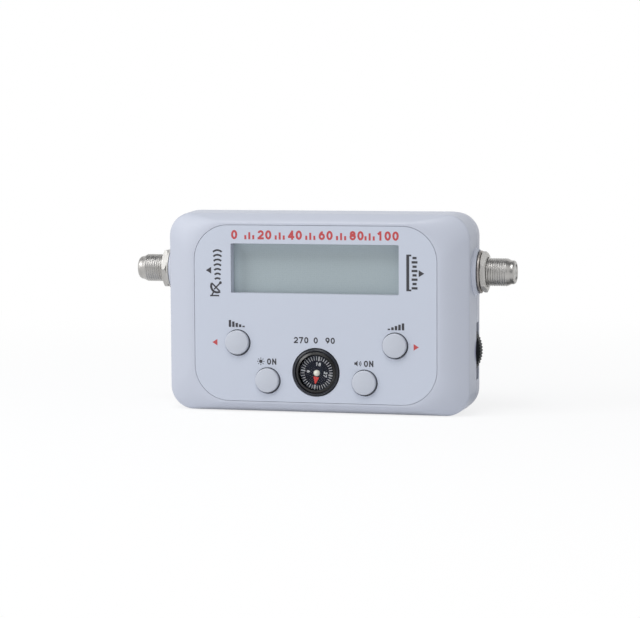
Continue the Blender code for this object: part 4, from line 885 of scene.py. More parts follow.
def printed_film():
    holes = [circle(x, z, KEY_HOLE) for x, z in KEY_PLACES.values()]
    holes.append(circle(COMPASS_X, COMPASS_Z, COMPASS_HOLE, 96))
    film = plate("film", [film_outline(0), window_outline(), *holes], 0, FILM_THICKNESS)
    edge = film.modifiers.new("edge", "BEVEL")
    edge.width = FILM_EDGE
    edge.segments = 2
    return settle(film)


def ink_plate(*outlines, front=0.0):
    return plate("ink", outlines, front - INK, front)


def ink_strip(points, width, front=0.0):
    """A printed line of even width through points, closed where the last point is the first."""
    closed = points[0] == points[-1]
    path = [points[-2], *points] if closed else [points[0], *points, points[-1]]
    sides = ([], [])
    for before, (x, z), after in zip(path, path[1:], path[2:]):
        run, rise = after[0] - before[0], after[1] - before[1]
        half = width / 2 / hypot(run, rise)
        for side, sign in zip(sides, (1, -1)):
            side.append((x - rise * half * sign, z + run * half * sign))
    outlines = sides if closed else [sides[0] + sides[1][::-1]]
    return ink_plate(*outlines, front=front)


def ink_box(x, z, width, height):
    a, b = width / 2, height / 2
    return ink_plate([(x - a, z - b), (x + a, z - b), (x + a, z + b), (x - a, z + b)])


def oval(x, z, reach, rise, start=0, end=360, steps=32):
    """Points of an upright oval's arc, from one angle to another in degrees."""
    points = [(x + reach * i, z + rise * j) for i, j in arc(0, 0, 1, start, end, steps)]
    return points[:-1] + points[:1] if end - start == 360 else points


def figure_strokes(sign, weight):
    """The middle lines of a number's or capital's strokes, in a box one high and FIGURE_WIDTH wide."""
    a, b, middle = weight / 2, FIGURE_WIDTH - weight / 2, FIGURE_WIDTH / 2
    reach, high = middle - a, 1 - a
    bowl = 0.29 - a / 3
    small = bowl * 0.82
    ring = oval(middle, a + bowl, reach, bowl)
    six = [ring, oval(b, a + bowl, b - a, high - a - bowl, 180, 105, 14)]
    strokes = {
        "0": [oval(middle, 0.5, reach, high - 0.5)],
        "1": [[(middle + a / 2, 0), (middle + a / 2, 1)], [(middle + a / 2, high), (a, high - 0.22)]],
        "2": [
            [*oval(middle, high - reach, reach, reach, 170, -40, 16), (a * 1.4, a * 1.6)],
            [(0, a), (FIGURE_WIDTH, a)],
        ],
        "4": [[(b - a, 0), (b - a, 1)], [(b - a, high), (a, 0.34)], [(0, 0.30), (FIGURE_WIDTH, 0.30)]],
        "6": six,
        "7": [[(0, high), (FIGURE_WIDTH, high)], [(b, high), (middle - a, 0)]],
        "8": [ring, oval(middle, high - small, reach * 0.86, small)],
        "9": [[(FIGURE_WIDTH - x, 1 - z) for x, z in stroke] for stroke in six],
        "N": [[(a, 0), (a, 1)], [(a, high), (b, a)], [(b, 0), (b, 1)]],
    }
    return strokes[sign.replace("O", "0")]


def placed(points, x, z, turn, size=1):
    """Points of a flat sign, turned by an angle and set at a place."""
    cosine, sine = cos(turn) * size, sin(turn) * size
    return [(x + i * cosine - j * sine, z + i * sine + j * cosine) for i, j in points]


def ink_figures(text, x, z, height, weight=0.21, turn=0.0, front=0.0):
    """Bold numbers or capitals, centred on a place."""
    pitch = FIGURE_WIDTH + FIGURE_GAP
    start = -(len(text) * pitch - FIGURE_GAP) / 2
    marks = []
    for number, sign in enumerate(text):
        for layer, stroke in enumerate(figure_strokes(sign, weight)):
            moved = [(start + number * pitch + i, j - 0.5) for i, j in stroke]
            points = placed(moved, x, z, turn, height)
            marks.append(ink_strip(points, weight * height, front + layer * INK_STEP))
    return marks


def arrow(x, z, degrees, size):
    """A small solid triangle, pointing up before it is turned."""
    reach, rise = size[0] / 2, size[1] / 2
    return ink_plate(placed([(-reach, -rise), (reach, -rise), (0, rise)], x, z, radians(degrees)))


def level_scale():
    """Six numbers from 0 to 100 with three ticks in each space between them."""
    marks = []
    step = (SCALE_HIGH - SCALE_LOW) / len(SCALE_SPACES)
    for number in range(len(SCALE_SPACES) + 1):
        x = SCALE_LOW + step * number
        marks += ink_figures(str(20 * number), x, SCALE_Z, SCALE_FIGURE, SCALE_WEIGHT)
    for number, middle in enumerate(SCALE_SPACES):
        for shift, height in SCALE_TICKS:
            x = SCALE_LOW + step * (number + middle) + shift
            marks.append(ink_box(x, SCALE_Z + (height - SCALE_FIGURE) / 2, SCALE_TICK, height))
    return marks


def dish_sign():
    """A dish aerial: its bowl and rim, the arm to the round head, and the leg on its stand."""
    x, z = DISH_X, DISH_Z
    head = (x + 0.0019, z + 0.0023)
    bowl = arc(x + 0.0007, z + 0.0011, DISH_BOWL, 150, 300, 24)
    rim, arm = [bowl[0], bowl[-1]], [(x - 0.0004, z), head]
    leg = [(x - 0.0004, z - 0.0006), (x - 0.0012, z - 0.0020)]
    stand = [(x - 0.0018, z - 0.0021), (x + 0.0014, z - 0.0021)]
    marks = [ink_strip(bowl, 1.5 * DISH_LINE)]
    marks.append(ink_plate(circle(*head, DISH_HEAD, 20), front=3 * INK_STEP))
    for layer, line in ((1, rim), (2, arm), (4, leg), (5, stand)):
        marks.append(ink_strip(line, DISH_LINE, layer * INK_STEP))
    return marks


def wave_signs():
    """Arcs that rise from the dish sign."""
    marks = []
    for step in range(WAVE_COUNT):
        z = WAVES_LOW + step * WAVE_PITCH
        reach = WAVE_REACH + WAVE_GROWTH * step
        marks.append(ink_strip(arc(WAVES_X, z - reach, reach * 1.35, 45, 135, 12), WAVE_WIDTH))
    return marks


def column_sign():
    """A bar with short ends, and a column of short lines beside it."""
    middle = (COLUMN_LOW + COLUMN_HIGH) / 2
    marks = [ink_box(COLUMN_X, middle, COLUMN_WIDTH, COLUMN_HIGH - COLUMN_LOW)]
    for z in (COLUMN_LOW, COLUMN_HIGH):
        inside = z + copysign(COLUMN_ENDS / 4, middle - z)
        ends = [(COLUMN_X, inside), (COLUMN_X + COLUMN_ENDS, inside)]
        marks.append(ink_strip(ends, COLUMN_ENDS / 2, INK_STEP))
    for step in range(DOTS_COUNT):
        z = COLUMN_LOW + COLUMN_WIDTH + step * DOTS_PITCH
        marks.append(ink_box(DOTS_X, z, DOTS_WIDTHS[step % 2], DOTS_HEIGHT))
    return marks


def bars_sign(x, z, side):
    """Five bars on one line, the tallest of them on the right for 1 and on the left for -1."""
    marks = []
    for step in range(BARS_COUNT):
        height = BARS_LOWEST + BARS_GROWTH * step
        along = side * (step - (BARS_COUNT - 1) / 2) * BARS_PITCH
        marks.append(ink_box(x + along, z - BARS_PITCH + height / 2, BARS_WIDTH, height))
    return marks


def light_sign(x, z):
    """A sun with its rays."""
    marks = [ink_plate(circle(x, z, SUN_RADIUS, 28))]
    for turn in shares(SUN_RAY_COUNT, 1):
        marks.append(ink_strip(placed([(r, 0) for r in SUN_RAYS], x, z, tau * turn), SUN_LINE))
    return marks


def sound_sign(x, z):
    """A loudspeaker with two waves."""
    back, neck, mouth = (0.0011, 0.0004), (0.0006, 0.0004), (0, 0.0010)
    upper = [(x - i, z + j) for i, j in (mouth, neck, back)]
    lower = [(x - i, z - j) for i, j in (back, neck, mouth)]
    marks = [ink_plate(lower + upper)]
    for reach in SOUND_WAVES:
        marks.append(ink_strip(arc(x, z, reach, -42, 42, 10), SOUND_LINE))
    return marks


def ink(name, colour, marks, body="case"):
    """A screen-printed ink, a little uneven in its cover."""
    material, tree, shader, place = blank_material(name)
    cover = noise(tree, place, 2600.0, 3.0)
    thin = tuple(c * 0.86 + 0.02 for c in colour)
    tint = mix_colours(tree, spread(tree, cover, 0.0, 1.0), colour, thin)
    feed(tree, shader, {"Base Color": tint, "Roughness": spread(tree, cover, 0.42, 0.55)})
    piece = gather(name, marks)
    piece.data.materials.append(material)
    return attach(piece, body)


FILM = moulded_plastic("face_film", FILM_COLOUR, 0.40, 40.0, 9000.0, 0.000003, 0.008)
dress(smooth(printed_film(), flats=True), FILM, stands_for=["face_label"])

red_marks = level_scale() + [arrow(*place, KEY_ARROW_SIZE) for place in KEY_ARROWS]
ink("red_ink", RED, red_marks)

black_marks = [arrow(*place, ARROW_SIZE) for place in ARROWS]
black_marks += [*dish_sign(), *wave_signs(), *column_sign()]
for side, name in ((-1, "left_attenuator"), (1, "right_attenuator")):
    x, z = KEY_PLACES[name]
    black_marks += bars_sign(x + side * GAP, z + KEY_SIGN_RISE, side)
for name, sign in (("light", light_sign), ("buzzer", sound_sign)):
    x, z = KEY_PLACES[name]
    black_marks += sign(x - KEY_SIGN_SHIFT, z + KEY_SIGN_RISE)
    black_marks += ink_figures("ON", x + KEY_WORD_SHIFT, z + KEY_SIGN_RISE, WORD_HEIGHT)
for text, x in COMPASS_NUMBERS.items():
    black_marks += ink_figures(text, x, COMPASS_NUMBERS_Z, WORD_HEIGHT)
ink("black_ink", BLACK, black_marks)


# Display. A character display without its picture: a grey polariser film over two glass plates, lit through a
# milky plate from behind and held in a black frame on the board. The imported shapes stay. The film is painted
# paler for a few millimetres inside the window's top and left edges, a painted light against the shade that
# those deep edges cast on it.

LCD_COLOUR = (0.345, 0.405, 0.425)
CELL = 0.00062
GAP_SHARE = 0.9
DOT_COLOUR = (0.9, 0.95, 0.95)
DOT_STRENGTH = 0.05
# How far inside the window's top and left edges the painted light reaches, lifting the shade they cast.
LIT_EDGE_REACH = 0.0045


def polariser_film():
    """Satin film over the fine grid of unlit dots, with painted light inside the window's top and left edges.
    """
    material, tree, shader, place = blank_material("polariser")
    split = add_node(tree, "SeparateXYZ", {"Vector": place}).outputs
    left, top = -WINDOW_HALF_WIDTH, WINDOW_Z + WINDOW_HALF_HEIGHT
    lines, lit_edges = [], []
    # Along the window's top and left edges the film is painted paler: painted light against the shade those
    # edges cast.
    for axis, inner, outer in (("X", left + LIT_EDGE_REACH, left), ("Z", top - LIT_EDGE_REACH, top)):
        wave = maths(tree, "SINE", maths(tree, "MULTIPLY", split[axis], tau / CELL))
        lines.append(maths(tree, "GREATER_THAN", wave, GAP_SHARE))
        lit_edges.append(ramp(tree, split[axis], inner, outer, shape="SMOOTHSTEP"))
    dark, light, pale = (tuple(c * share for c in LCD_COLOUR) for share in (0.975, 1.02, 1.28))
    base = mix_colours(tree, spread(tree, noise(tree, place, 45.0, 2.0), 0.0, 1.0), dark, light)
    base = mix_colours(tree, maths(tree, "MAXIMUM", *lit_edges), base, pale)
    grid = maths(tree, "MULTIPLY", maths(tree, "MAXIMUM", *lines), DOT_STRENGTH)
    gloss = spread(tree, noise(tree, place, 7000.0, 1.0), 0.24, 0.32)
    feed(tree, shader, {"Base Color": mix_colours(tree, grid, base, DOT_COLOUR), "Roughness": gloss})
    return material


LCD_FILM = polariser_film()


# Keys. Four round caps in the case's plastic, each a low dome with a rounded edge that stands a little proud
# of the face and leans a hair to the upper left of its hole. A flange keeps it behind the wall, and a stem
# presses the switch.

CAP_RADIUS = 0.0041
CAP_PROUD = 0.0013
CAP_DOME = 0.0004
CAP_LEAN = (-0.00015, 0.00012)
CAP_EDGE = 0.0005
CAP_FLANGE = 0.0053
CAP_FLANGE_FRONT = 0.0025
CAP_FLANGE_BACK = 0.0033
CAP_STEM = 0.0017
CAP_STEM_END = 0.0042
KEY_COLOUR = (0.512, 0.538, 0.598)
KEY_PLASTIC = moulded_plastic("key_plastic", KEY_COLOUR, 0.42, 90.0, 6000.0, 0.000006, 0.012)


def key_cap(name, x, z):
    top = CAP_RADIUS - CAP_EDGE
    profile = [(top * s, -CAP_PROUD - CAP_DOME * (1 - s**2)) for s in shares(8)]
    profile += [(r, CAP_EDGE - CAP_PROUD - d) for r, d in arc(top, 0, CAP_EDGE, 90, 0, 8)[1:]]
    profile += [(CAP_RADIUS, CAP_FLANGE_FRONT), (CAP_FLANGE, CAP_FLANGE_FRONT), (CAP_FLANGE, CAP_FLANGE_BACK)]
    profile += [(CAP_STEM, CAP_FLANGE_BACK), (CAP_STEM, CAP_STEM_END), (0, CAP_STEM_END)]
    cap = smooth(face_turned(name + "_cap", profile, x + CAP_LEAN[0], z + CAP_LEAN[1]))
    dress(cap, KEY_PLASTIC, name + "_button", [name + "_key"])


for name, (x, z) in KEY_PLACES.items():
    key_cap(name, x, z)


# Compass. A glossy black cup, whose rim falls away in a round slope, is pressed into the collar. A clear dome
# with a black-painted edge is stuck in it. Under that a black card with ticks, numbers and a red pointer
# turns on a needle, capped by a cream jewel.

CUP_RADIUS = 0.00795
RIM_WIDTH = 0.0008
RIM_PROUD = 0.0006
CUP_DEPTH = 0.0079
CUP_WALL = 0.0006
CUP_SIDES = 120
SHELF_DEPTH = 0.0004
DOME_RADIUS = 0.00685
DOME_RISE = 0.0014
DOME_THICKNESS = 0.0006
DOME_FLATNESS = 2.8
DOME_SEAT = 0.0001
DOME_STEPS = 24
RIM_START = radians(20)
RIM_STEPS = 14
PAINTED_RING = 0.0060
PAINT_COLOUR = (0.004, 0.005, 0.009)
CUP_COLOUR = (0.011, 0.013, 0.020)
# The card's own black, lifted and made bluer as a painted reflection of the grey veil the dome shows over it.
CARD_AND_VEIL_COLOUR = (0.026, 0.029, 0.042)
CARD_RADIUS = 0.0059
CARD_HOLE = 0.0011
CARD_DEPTH = 0.0014
CARD_BACK = 0.0018
CARD_Z = 0.01385
CARD_TURN = radians(-9)
CARD_EDGE = 0.00008
TICK_COUNT = 36
TICK_OUTER = 0.00563
TICK = (0.00026, 0.0043)
QUARTER_TICK = (0.00055, 0.0041)
CARD_FIGURES = {"18": 0, "27": 90, "9": 270}
CARD_FIGURE = 0.0012
CARD_FIGURE_PLACE = 0.0030
POINTER_TIP = (0.0037, 0.05)
POINTER_FOOT = (0.0017, 0.62)
TICK_COLOUR = (0.60, 0.61, 0.64)
POINTER_COLOUR = (0.74, 0.040, 0.030)
JEWEL_RADIUS = 0.0011
JEWEL_RISE = 0.0007
JEWEL_STEM = 0.0008
JEWEL_END = 0.0025
JEWEL_HOLLOW = 0.0005


def dome_arc(edge, edge_depth, rise, steps):
    """Half of a shallow dome's section, from its middle out to its edge."""
    ball = (edge**2 + rise**2) / (2 * rise)
    angles = [asin(edge / ball) * share for share in shares(steps)]
    return [(ball * sin(a), edge_depth - rise + ball * (1 - cos(a))) for a in angles]


def cup_piece():
    """The rim's slope starts at an angle at the dome and turns square to the face at its outer edge."""
    rim_inner = CUP_RADIUS - RIM_WIDTH
    inner, floor = rim_inner - CUP_WALL, CUP_DEPTH - CUP_WALL
    profile = []
    for share in shares(RIM_STEPS):
        a = RIM_START + (pi / 2 - RIM_START) * share
        out = (sin(a) - sin(RIM_START)) / (1 - sin(RIM_START))
        profile.append((rim_inner + RIM_WIDTH * out, -RIM_PROUD * cos(a) / cos(RIM_START)))
    profile += [(CUP_RADIUS, CUP_DEPTH), (0, CUP_DEPTH), (0, floor)]
    profile += [(inner, floor), (inner, SHELF_DEPTH), (rim_inner, SHELF_DEPTH)]
    return smooth(face_turned("cup", profile, COMPASS_X, COMPASS_Z, CUP_SIDES, True))


def dome_piece():
    """The dome's front is flatter than a ball in the middle and steeper at its edge."""
    back = SHELF_DEPTH - GAP
    edge = CUP_RADIUS - RIM_WIDTH - DOME_SEAT
    profile = []
    for share in shares(DOME_STEPS):
        profile.append((edge * share, -RIM_PROUD / 2 - DOME_RISE * (1 - share**DOME_FLATNESS)))
    profile.append((edge, back))
    inner_rise = DOME_RISE + RIM_PROUD / 2 + back - DOME_THICKNESS
    profile += dome_arc(DOME_RADIUS - DOME_THICKNESS, back, inner_rise, 18)[::-1]
    return smooth(face_turned("dome", profile, COMPASS_X, COMPASS_Z, CUP_SIDES))


def card_place(angle, radius):
    """A place on the card, at an angle clockwise from its top as the card lies, seen from the front."""
    a = radians(90) - angle + CARD_TURN
    return COMPASS_X + radius * cos(a), CARD_Z + radius * sin(a)


def card_piece():
    profile = [(CARD_HOLE, CARD_DEPTH), (CARD_RADIUS - CARD_EDGE, CARD_DEPTH)]
    profile += [(CARD_RADIUS, CARD_DEPTH + CARD_EDGE), (CARD_RADIUS, CARD_BACK), (CARD_HOLE, CARD_BACK)]
    return smooth(face_turned("card", profile, COMPASS_X, CARD_Z, 96, True))


def card_marks():
    """A ring of ticks and three of the numbers, in light grey."""
    marks = []
    for step in range(TICK_COUNT):
        width, inner = TICK if step % (TICK_COUNT // 4) else QUARTER_TICK
        ends = [card_place(tau * step / TICK_COUNT, radius) for radius in (inner, TICK_OUTER)]
        marks.append(ink_strip(ends, width, CARD_DEPTH))
    for text, degrees in CARD_FIGURES.items():
        angle = radians(degrees)
        place = card_place(angle, CARD_FIGURE_PLACE)
        marks += ink_figures(text, *place, CARD_FIGURE, 0.24, CARD_TURN - angle, CARD_DEPTH)
    return marks


def pointer_mark():
    """The red triangle that points to zero, between a narrow tip and a wide foot."""
    corners = []
    for side, (radius, turn) in ((1, POINTER_TIP), (-1, POINTER_FOOT)):
        corners += [card_place(pi + turn * sign, radius) for sign in (side, -side)]
    return ink_plate(corners, front=CARD_DEPTH)


def jewel_piece():
    seat = CARD_DEPTH - GAP
    profile = dome_arc(JEWEL_RADIUS, seat, JEWEL_RISE, 10)
    profile += [(JEWEL_STEM, seat), (JEWEL_STEM, JEWEL_END), (JEWEL_HOLLOW, JEWEL_END), (0, seat)]
    return smooth(face_turned("jewel", profile, COMPASS_X, CARD_Z, 48))


def clear_plastic():
    """Clear plastic, polished with a few faint rubbed spots. The dome's edge is painted black inside."""
    material, tree, shader, place = blank_material("clear_plastic")
    polish = spread(tree, noise(tree, place, 300.0, 2.0), 0.0, 0.02)
    away = distance(tree, place, (COMPASS_X, 0, COMPASS_Z), (1, 0, 1))
    ring = ramp(tree, away, PAINTED_RING, PAINTED_RING + GAP, 0.0, 0.26)
    painted = maths(tree, "GREATER_THAN", ring, 0.05)
    looks = {
        "Base Color": mix_colours(tree, painted, (0.97, 0.98, 0.98), PAINT_COLOUR),
        "Roughness": maths(tree, "ADD", polish, ring),
        "Coat Weight": painted,
        "Coat Roughness": 0.30,
        "Transmission Weight": 1.0,
        "IOR": 1.12,
    }
    feed(tree, shader, looks)
    return material


BLACK_PLASTIC = moulded_plastic("black_plastic", CUP_COLOUR, 0.30, 120.0, 5000.0, 0.000002, 0.25, 0.4)
CARD_BLACK = moulded_plastic("card_black", CARD_AND_VEIL_COLOUR, 0.80, 200.0, 3000.0, 0.0000002, 0.2, 0.1)
CLEAR = clear_plastic()
JEWEL = moulded_plastic("jewel", (0.84, 0.82, 0.73), 0.28, 500.0, 9000.0, 0.000002, 0.05)

dress(cup_piece(), BLACK_PLASTIC, stands_for=["compass_cup"])
dress(dome_piece(), CLEAR, stands_for=["compass_dome"])
dress(card_piece(), CARD_BLACK, "compass_dial", ["compass_card"])
dress(jewel_piece(), JEWEL, "compass_dial", ["compass_jewel"])
ink("card_ticks", TICK_COLOUR, card_marks(), "compass_dial")
ink("card_pointer", POINTER_COLOUR, [pointer_mark()], "compass_dial")


# Gain wheel. A moulded black disc with a rim of fine teeth, dished at the back for its screw. It stands proud
# of the right side in its slot beside the parting line.

WHEEL_X = 0.0430
WHEEL_RADIUS = 0.0110
WHEEL_FRONT = 0.0150
WHEEL_BACK = 0.0198
WHEEL_CHAMFER = 0.0005
WHEEL_STEPS = 4
WHEEL_DISH = 0.0078
WHEEL_DISH_DEPTH = 0.0014
WHEEL_DISH_SLOPE = 0.0003
WHEEL_BORE = 0.0022
TOOTH_COUNT = 64
TOOTH_DEPTH = 0.00035
TOOTH_POINTS = 6
TOOTH_ROUNDNESS = 0.7
WHEEL_COLOUR = (0.006, 0.008, 0.010)


def toothed_circle(tip):
    """A circle of fine teeth with round tips and roots."""
    points = []
    for share in shares(TOOTH_COUNT * TOOTH_POINTS)[:-1]:
        angle = tau * share
        wave = (1 + cos(TOOTH_COUNT * angle)) / 2
        radius = tip - TOOTH_DEPTH * (1 - wave**TOOTH_ROUNDNESS)
        points.append((WHEEL_X + radius * cos(angle), WHEEL_Z + radius * sin(angle)))
    return points


def wheel_piece():
    rings = []
    for face, inwards in ((WHEEL_FRONT, 1), (WHEEL_BACK, -1)):
        for sine, cosine in quarter(WHEEL_STEPS)[::inwards]:
            outline = toothed_circle(WHEEL_RADIUS - WHEEL_CHAMFER * (1 - sine))
            rings.append((outline, face + inwards * WHEEL_CHAMFER * (1 - cosine)))
    floor, foot = WHEEL_BACK - WHEEL_DISH_DEPTH, WHEEL_DISH - WHEEL_DISH_SLOPE
    hollow = [(WHEEL_DISH, WHEEL_BACK), (foot, floor), (WHEEL_BORE, floor), (WHEEL_BORE, WHEEL_FRONT)]
    steps = TOOTH_COUNT * TOOTH_POINTS
    rings += [(circle(WHEEL_X, WHEEL_Z, radius, steps), depth) for radius, depth in hollow]
    return smooth(loft("wheel", rings, True))


WHEEL_PLASTIC = moulded_plastic("wheel_plastic", WHEEL_COLOUR, 0.50, 150.0, 5000.0, 0.000006, 0.25, 0.2)
dress(wheel_piece(), WHEEL_PLASTIC, "wheel", ["gain_wheel"])


# Sockets. A nickel-plated brass barrel with a fine thread for a cable's plug stands out at each end on the
# parting line. Its tip is turned round, more so on the left. A paler hexagon nut draws it against the case's
# seat over a washer, and a milky core holds the contact. The right washer's metal is painted darker: painted
# shade of the narrow gap between its nut and the case.

TIP_X = 0.0662
TIP_RADIUS = 0.0040
TIP_EDGE = 0.0010
TIP_ROUNDING = {-1: 0.0016, 1: 0.0010}
TIP_STEPS = 6
BORE_EDGE = 0.0002
THREAD_RADIUS = 0.0047
THREAD_END = 0.0632
THREAD_START = 0.0520
THREAD_PITCH = 0.000794
THREAD_DEPTH = 0.00020
THREAD_STEPS = 12
THREAD_CREST = 1.30
THREAD_FLANK = 2.9
TIP_CHAMFER = 0.0014
BORE_RADIUS = 0.0028
FLANGE_FLATS = 0.0110
FLANGE_INNER = 0.0477
FLANGE_OUTER = 0.0497
BARREL_RADIUS = 0.0038
TAIL_X = 0.0403
WASHER_RADIUS = 0.0072
WASHER_HOLE = 0.0050
WASHER_INNER = 0.0540
WASHER_OUTER = 0.0546
WASHER_EDGE = 0.0001
NUT_FLATS = 0.0124
NUT_INNER = 0.0548
NUT_OUTER = 0.0566
NUT_CHAMFER = 0.0004
NUT_STEPS = 12
NUT_TURNS = {-1: 0.0, 1: radians(20)}
CORE_X = 0.0657
CORE_RADIUS = 0.0025
CORE_HOLE = 0.0011
CONTACT_X = 0.0651
CONTACT_RADIUS = 0.0008
CONTACT_BORE = 0.0005
CONTACT_EDGE = (0.0002, 0.00015)
CONTACT_BORE_DEPTH = 0.0080
CONTACT_INNER = 0.0375
AROUND = 120
BARREL_SHARP = radians(50)
NUT_SHARP = radians(20)
ROUND_LINES = (1, 0.05, 0.05)


def side_rows(side, rings):
    """Rows on the sockets' line, from (distance from the middle, radius or a function of the angle)."""
    rows = []
    for along, radius in rings:
        row = []
        for a in (tau * share for share in shares(AROUND)[:-1]):
            r = radius(a) if callable(radius) else radius
            row.append((side * along, at_depth(PARTING) - r * cos(a), SOCKET_Z + r * sin(a)))
        rows.append(row)
    return rows


def hexagon(flats, turn=0.0):
    """The radius of a hexagon at an angle, with a corner at the turn."""
    return lambda a: flats / 2 / cos((a - turn) % radians(60) - radians(30))


def screw_thread(along, limit):
    """The radius of the thread at an angle, for a ring at a distance along the barrel."""

    def radius(a):
        share = (along / THREAD_PITCH - a / tau) % 1
        ridge = min(1.0, max(0.0, THREAD_CREST - THREAD_FLANK * abs(share - 0.5)))
        return min(limit, THREAD_RADIUS - THREAD_DEPTH * (1 - ridge))

    return radius


def socket_rings(side):
    """The barrel's outside from the tip to the tail, and its bore."""
    rings = [(TIP_X, BORE_RADIUS + BORE_EDGE)]
    rounding = TIP_ROUNDING[side]
    for sine, cosine in quarter(TIP_STEPS):
        rings.append((TIP_X - rounding * (1 - cosine), TIP_RADIUS - TIP_EDGE * (1 - sine)))
    slope_end = THREAD_END + TIP_CHAMFER
    if TIP_X - rounding > slope_end:
        rings.append((slope_end, TIP_RADIUS))
    count = round((slope_end - THREAD_START) / THREAD_PITCH * THREAD_STEPS)
    for step in range(1, count + 1):
        drop = THREAD_PITCH * step / THREAD_STEPS
        limit = TIP_RADIUS + (THREAD_RADIUS - TIP_RADIUS) * min(1.0, drop / TIP_CHAMFER)
        rings.append((slope_end - drop, screw_thread(slope_end - drop, limit)))
    flange = hexagon(FLANGE_FLATS)
    rings += [(FLANGE_OUTER, THREAD_RADIUS), (FLANGE_OUTER, flange), (FLANGE_INNER, flange)]
    rings += [(FLANGE_INNER, BARREL_RADIUS), (TAIL_X, BARREL_RADIUS)]
    return [*rings, (TAIL_X, BORE_RADIUS), (TIP_X - BORE_EDGE, BORE_RADIUS)]


def nut_rings(turn):
    """A hexagon whose corners are turned off by a cone at both faces."""
    corner = NUT_FLATS / 2 / cos(radians(30))
    flats = hexagon(NUT_FLATS, turn)
    rings = [(NUT_INNER, WASHER_HOLE)]
    for share in shares(NUT_STEPS):
        near = (NUT_OUTER - NUT_INNER) * min(share, 1 - share)
        limit = corner - 2 * NUT_CHAMFER * max(0.0, 1 - near / NUT_CHAMFER)
        along = NUT_INNER + (NUT_OUTER - NUT_INNER) * share
        rings.append((along, lambda a, limit=limit: min(limit, flats(a))))
    return [*rings, (NUT_OUTER, WASHER_HOLE)]


def washer_rings():
    flat = WASHER_RADIUS - WASHER_EDGE
    rings = [(WASHER_INNER, WASHER_HOLE), (WASHER_INNER, flat), (WASHER_INNER + WASHER_EDGE, WASHER_RADIUS)]
    rings += [(WASHER_OUTER - WASHER_EDGE, WASHER_RADIUS), (WASHER_OUTER, flat)]
    return [*rings, (WASHER_OUTER, WASHER_HOLE)]


def contact_rings():
    bottom = CONTACT_X - CONTACT_BORE_DEPTH
    back, narrower = CONTACT_EDGE
    rings = [(bottom, 0.0), (bottom, CONTACT_BORE), (CONTACT_X, CONTACT_BORE)]
    rings += [(CONTACT_X, CONTACT_RADIUS - narrower), (CONTACT_X - back, CONTACT_RADIUS)]
    return [*rings, (CONTACT_INNER, CONTACT_RADIUS), (CONTACT_INNER, 0.0)]


CORE_RINGS = [(CORE_X, CORE_HOLE), (CORE_X, CORE_RADIUS), (TAIL_X, CORE_RADIUS), (TAIL_X, CORE_HOLE)]
NICKEL = worn_metal("nickel", (0.49, 0.48, 0.465), 0.86, 1.22, 0.36, ROUND_LINES)
PALE_NICKEL = worn_metal("pale_nickel", (0.62, 0.61, 0.59), 0.90, 1.12, 0.60, ROUND_LINES)
# Painted shade: the right washer is darker than the left, standing for the shaded gap beside its nut.
SHADED_NICKEL = worn_metal("shaded_nickel", (0.42, 0.39, 0.37), 0.80, 1.20, 0.50, ROUND_LINES)
BRASS = worn_metal("brass", (0.75, 0.55, 0.24), 0.75, 1.25, 0.28, ROUND_LINES)
MILKY = moulded_plastic("milky_plastic", (0.80, 0.81, 0.78), 0.40, 300.0, 6000.0, 0.000004, 0.03)


def socket(side, name, washer_metal):
    """Barrel, nut, washer and core are closed rings, and the contact ends in single points."""
    for shape, rings, sharp, material, slot, node in (
        ("barrel", socket_rings(side), BARREL_SHARP, NICKEL, "nickel", "socket"),
        ("hexagon", nut_rings(NUT_TURNS[side]), NUT_SHARP, PALE_NICKEL, "nickel", "nut"),
        ("ring", washer_rings(), SHARP, washer_metal, "nickel", "washer"),
        ("core", CORE_RINGS, SHARP, MILKY, "milky_plastic", "insulator"),
        ("pin", contact_rings(), SHARP, BRASS, "brass", "contact"),
    ):
        rows = side_rows(side, rings)
        closed = shape != "pin"
        if not closed:
            rows[0], rows[-1] = rows[0][:1], rows[-1][:1]
        piece = skin(f"{name}_{shape}", rows, closed)
        dress(smooth(piece, sharp), material, stands_for=[f"{name}_{node}"])


socket(-1, "left", PALE_NICKEL)
socket(1, "right", SHADED_NICKEL)


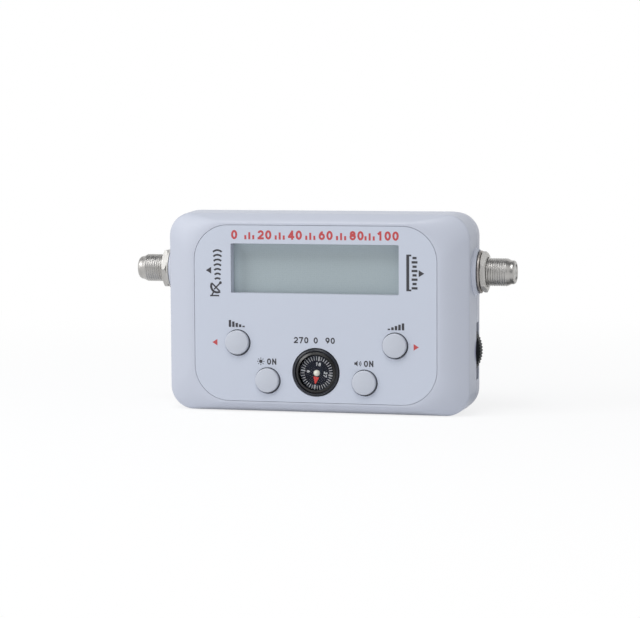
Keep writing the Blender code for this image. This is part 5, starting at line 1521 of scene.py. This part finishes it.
# Inside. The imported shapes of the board, the display's layers, the switches, the tuner's shield and the other
# parts keep their form. Each takes the finish of its stuff: soldered board, tinplate, ferrite, rubber or
# black plastic.


def solder_board():
    """Green lacquer over copper tracks that run along and across the board."""
    material, tree, shader, place = blank_material("board_green")
    tracks = add_node(tree, "TexVoronoi", {"Vector": place, "Scale": 420.0}, feature="DISTANCE_TO_EDGE")
    raised = ramp(tree, tracks.outputs["Distance"], 0.05, 0.09)
    looks = {
        "Base Color": mix_colours(tree, raised, (0.012, 0.11, 0.045), (0.02, 0.19, 0.08)),
        "Roughness": spread(tree, noise(tree, place, 300.0, 3.0), 0.30, 0.44),
        "Normal": bump(tree, raised, 0.5, 0.00002),
    }
    feed(tree, shader, looks)
    return material


def display_glass():
    """Cut plate glass with a greenish tint and faintly uneven polish."""
    material, tree, shader, place = blank_material("glass")
    rub = noise(tree, place, 250.0, 4.0)
    tint = mix_colours(tree, rub, (0.86, 0.93, 0.90), (0.92, 0.97, 0.95))
    gloss = spread(tree, rub, 0.01, 0.07)
    feed(tree, shader, {"Base Color": tint, "Roughness": gloss, "Transmission Weight": 1.0})
    return material


FINISHES = {
    "case_plastic": CASE_PLASTIC,
    "face_film": FILM,
    "polariser": LCD_FILM,
    "glass": display_glass(),
    "clear_plastic": CLEAR,
    "milky_plastic": MILKY,
    "black_plastic": BLACK_PLASTIC,
    "grey_rubber": moulded_plastic("grey_rubber", (0.10, 0.10, 0.11), 0.75, 300.0, 3000.0, 0.00002, 0.15),
    "board_green": solder_board(),
    "jewel": JEWEL,
    "nickel": NICKEL,
    "brass": BRASS,
    "tinplate": worn_metal("tinplate", (0.62, 0.63, 0.64), 0.80, 1.15, 0.36, (0.1, 1, 1)),
    "steel": STEEL,
    "ferrite": moulded_plastic("ferrite", (0.060, 0.060, 0.065), 0.60, 400.0, 5000.0, 0.00001, 0.2),
}

for part in frame["record"]["subparts"]:
    node = nodes[part["node"]]
    node.data.materials.clear()
    node.data.materials.append(FINISHES[part["material_slot"]])
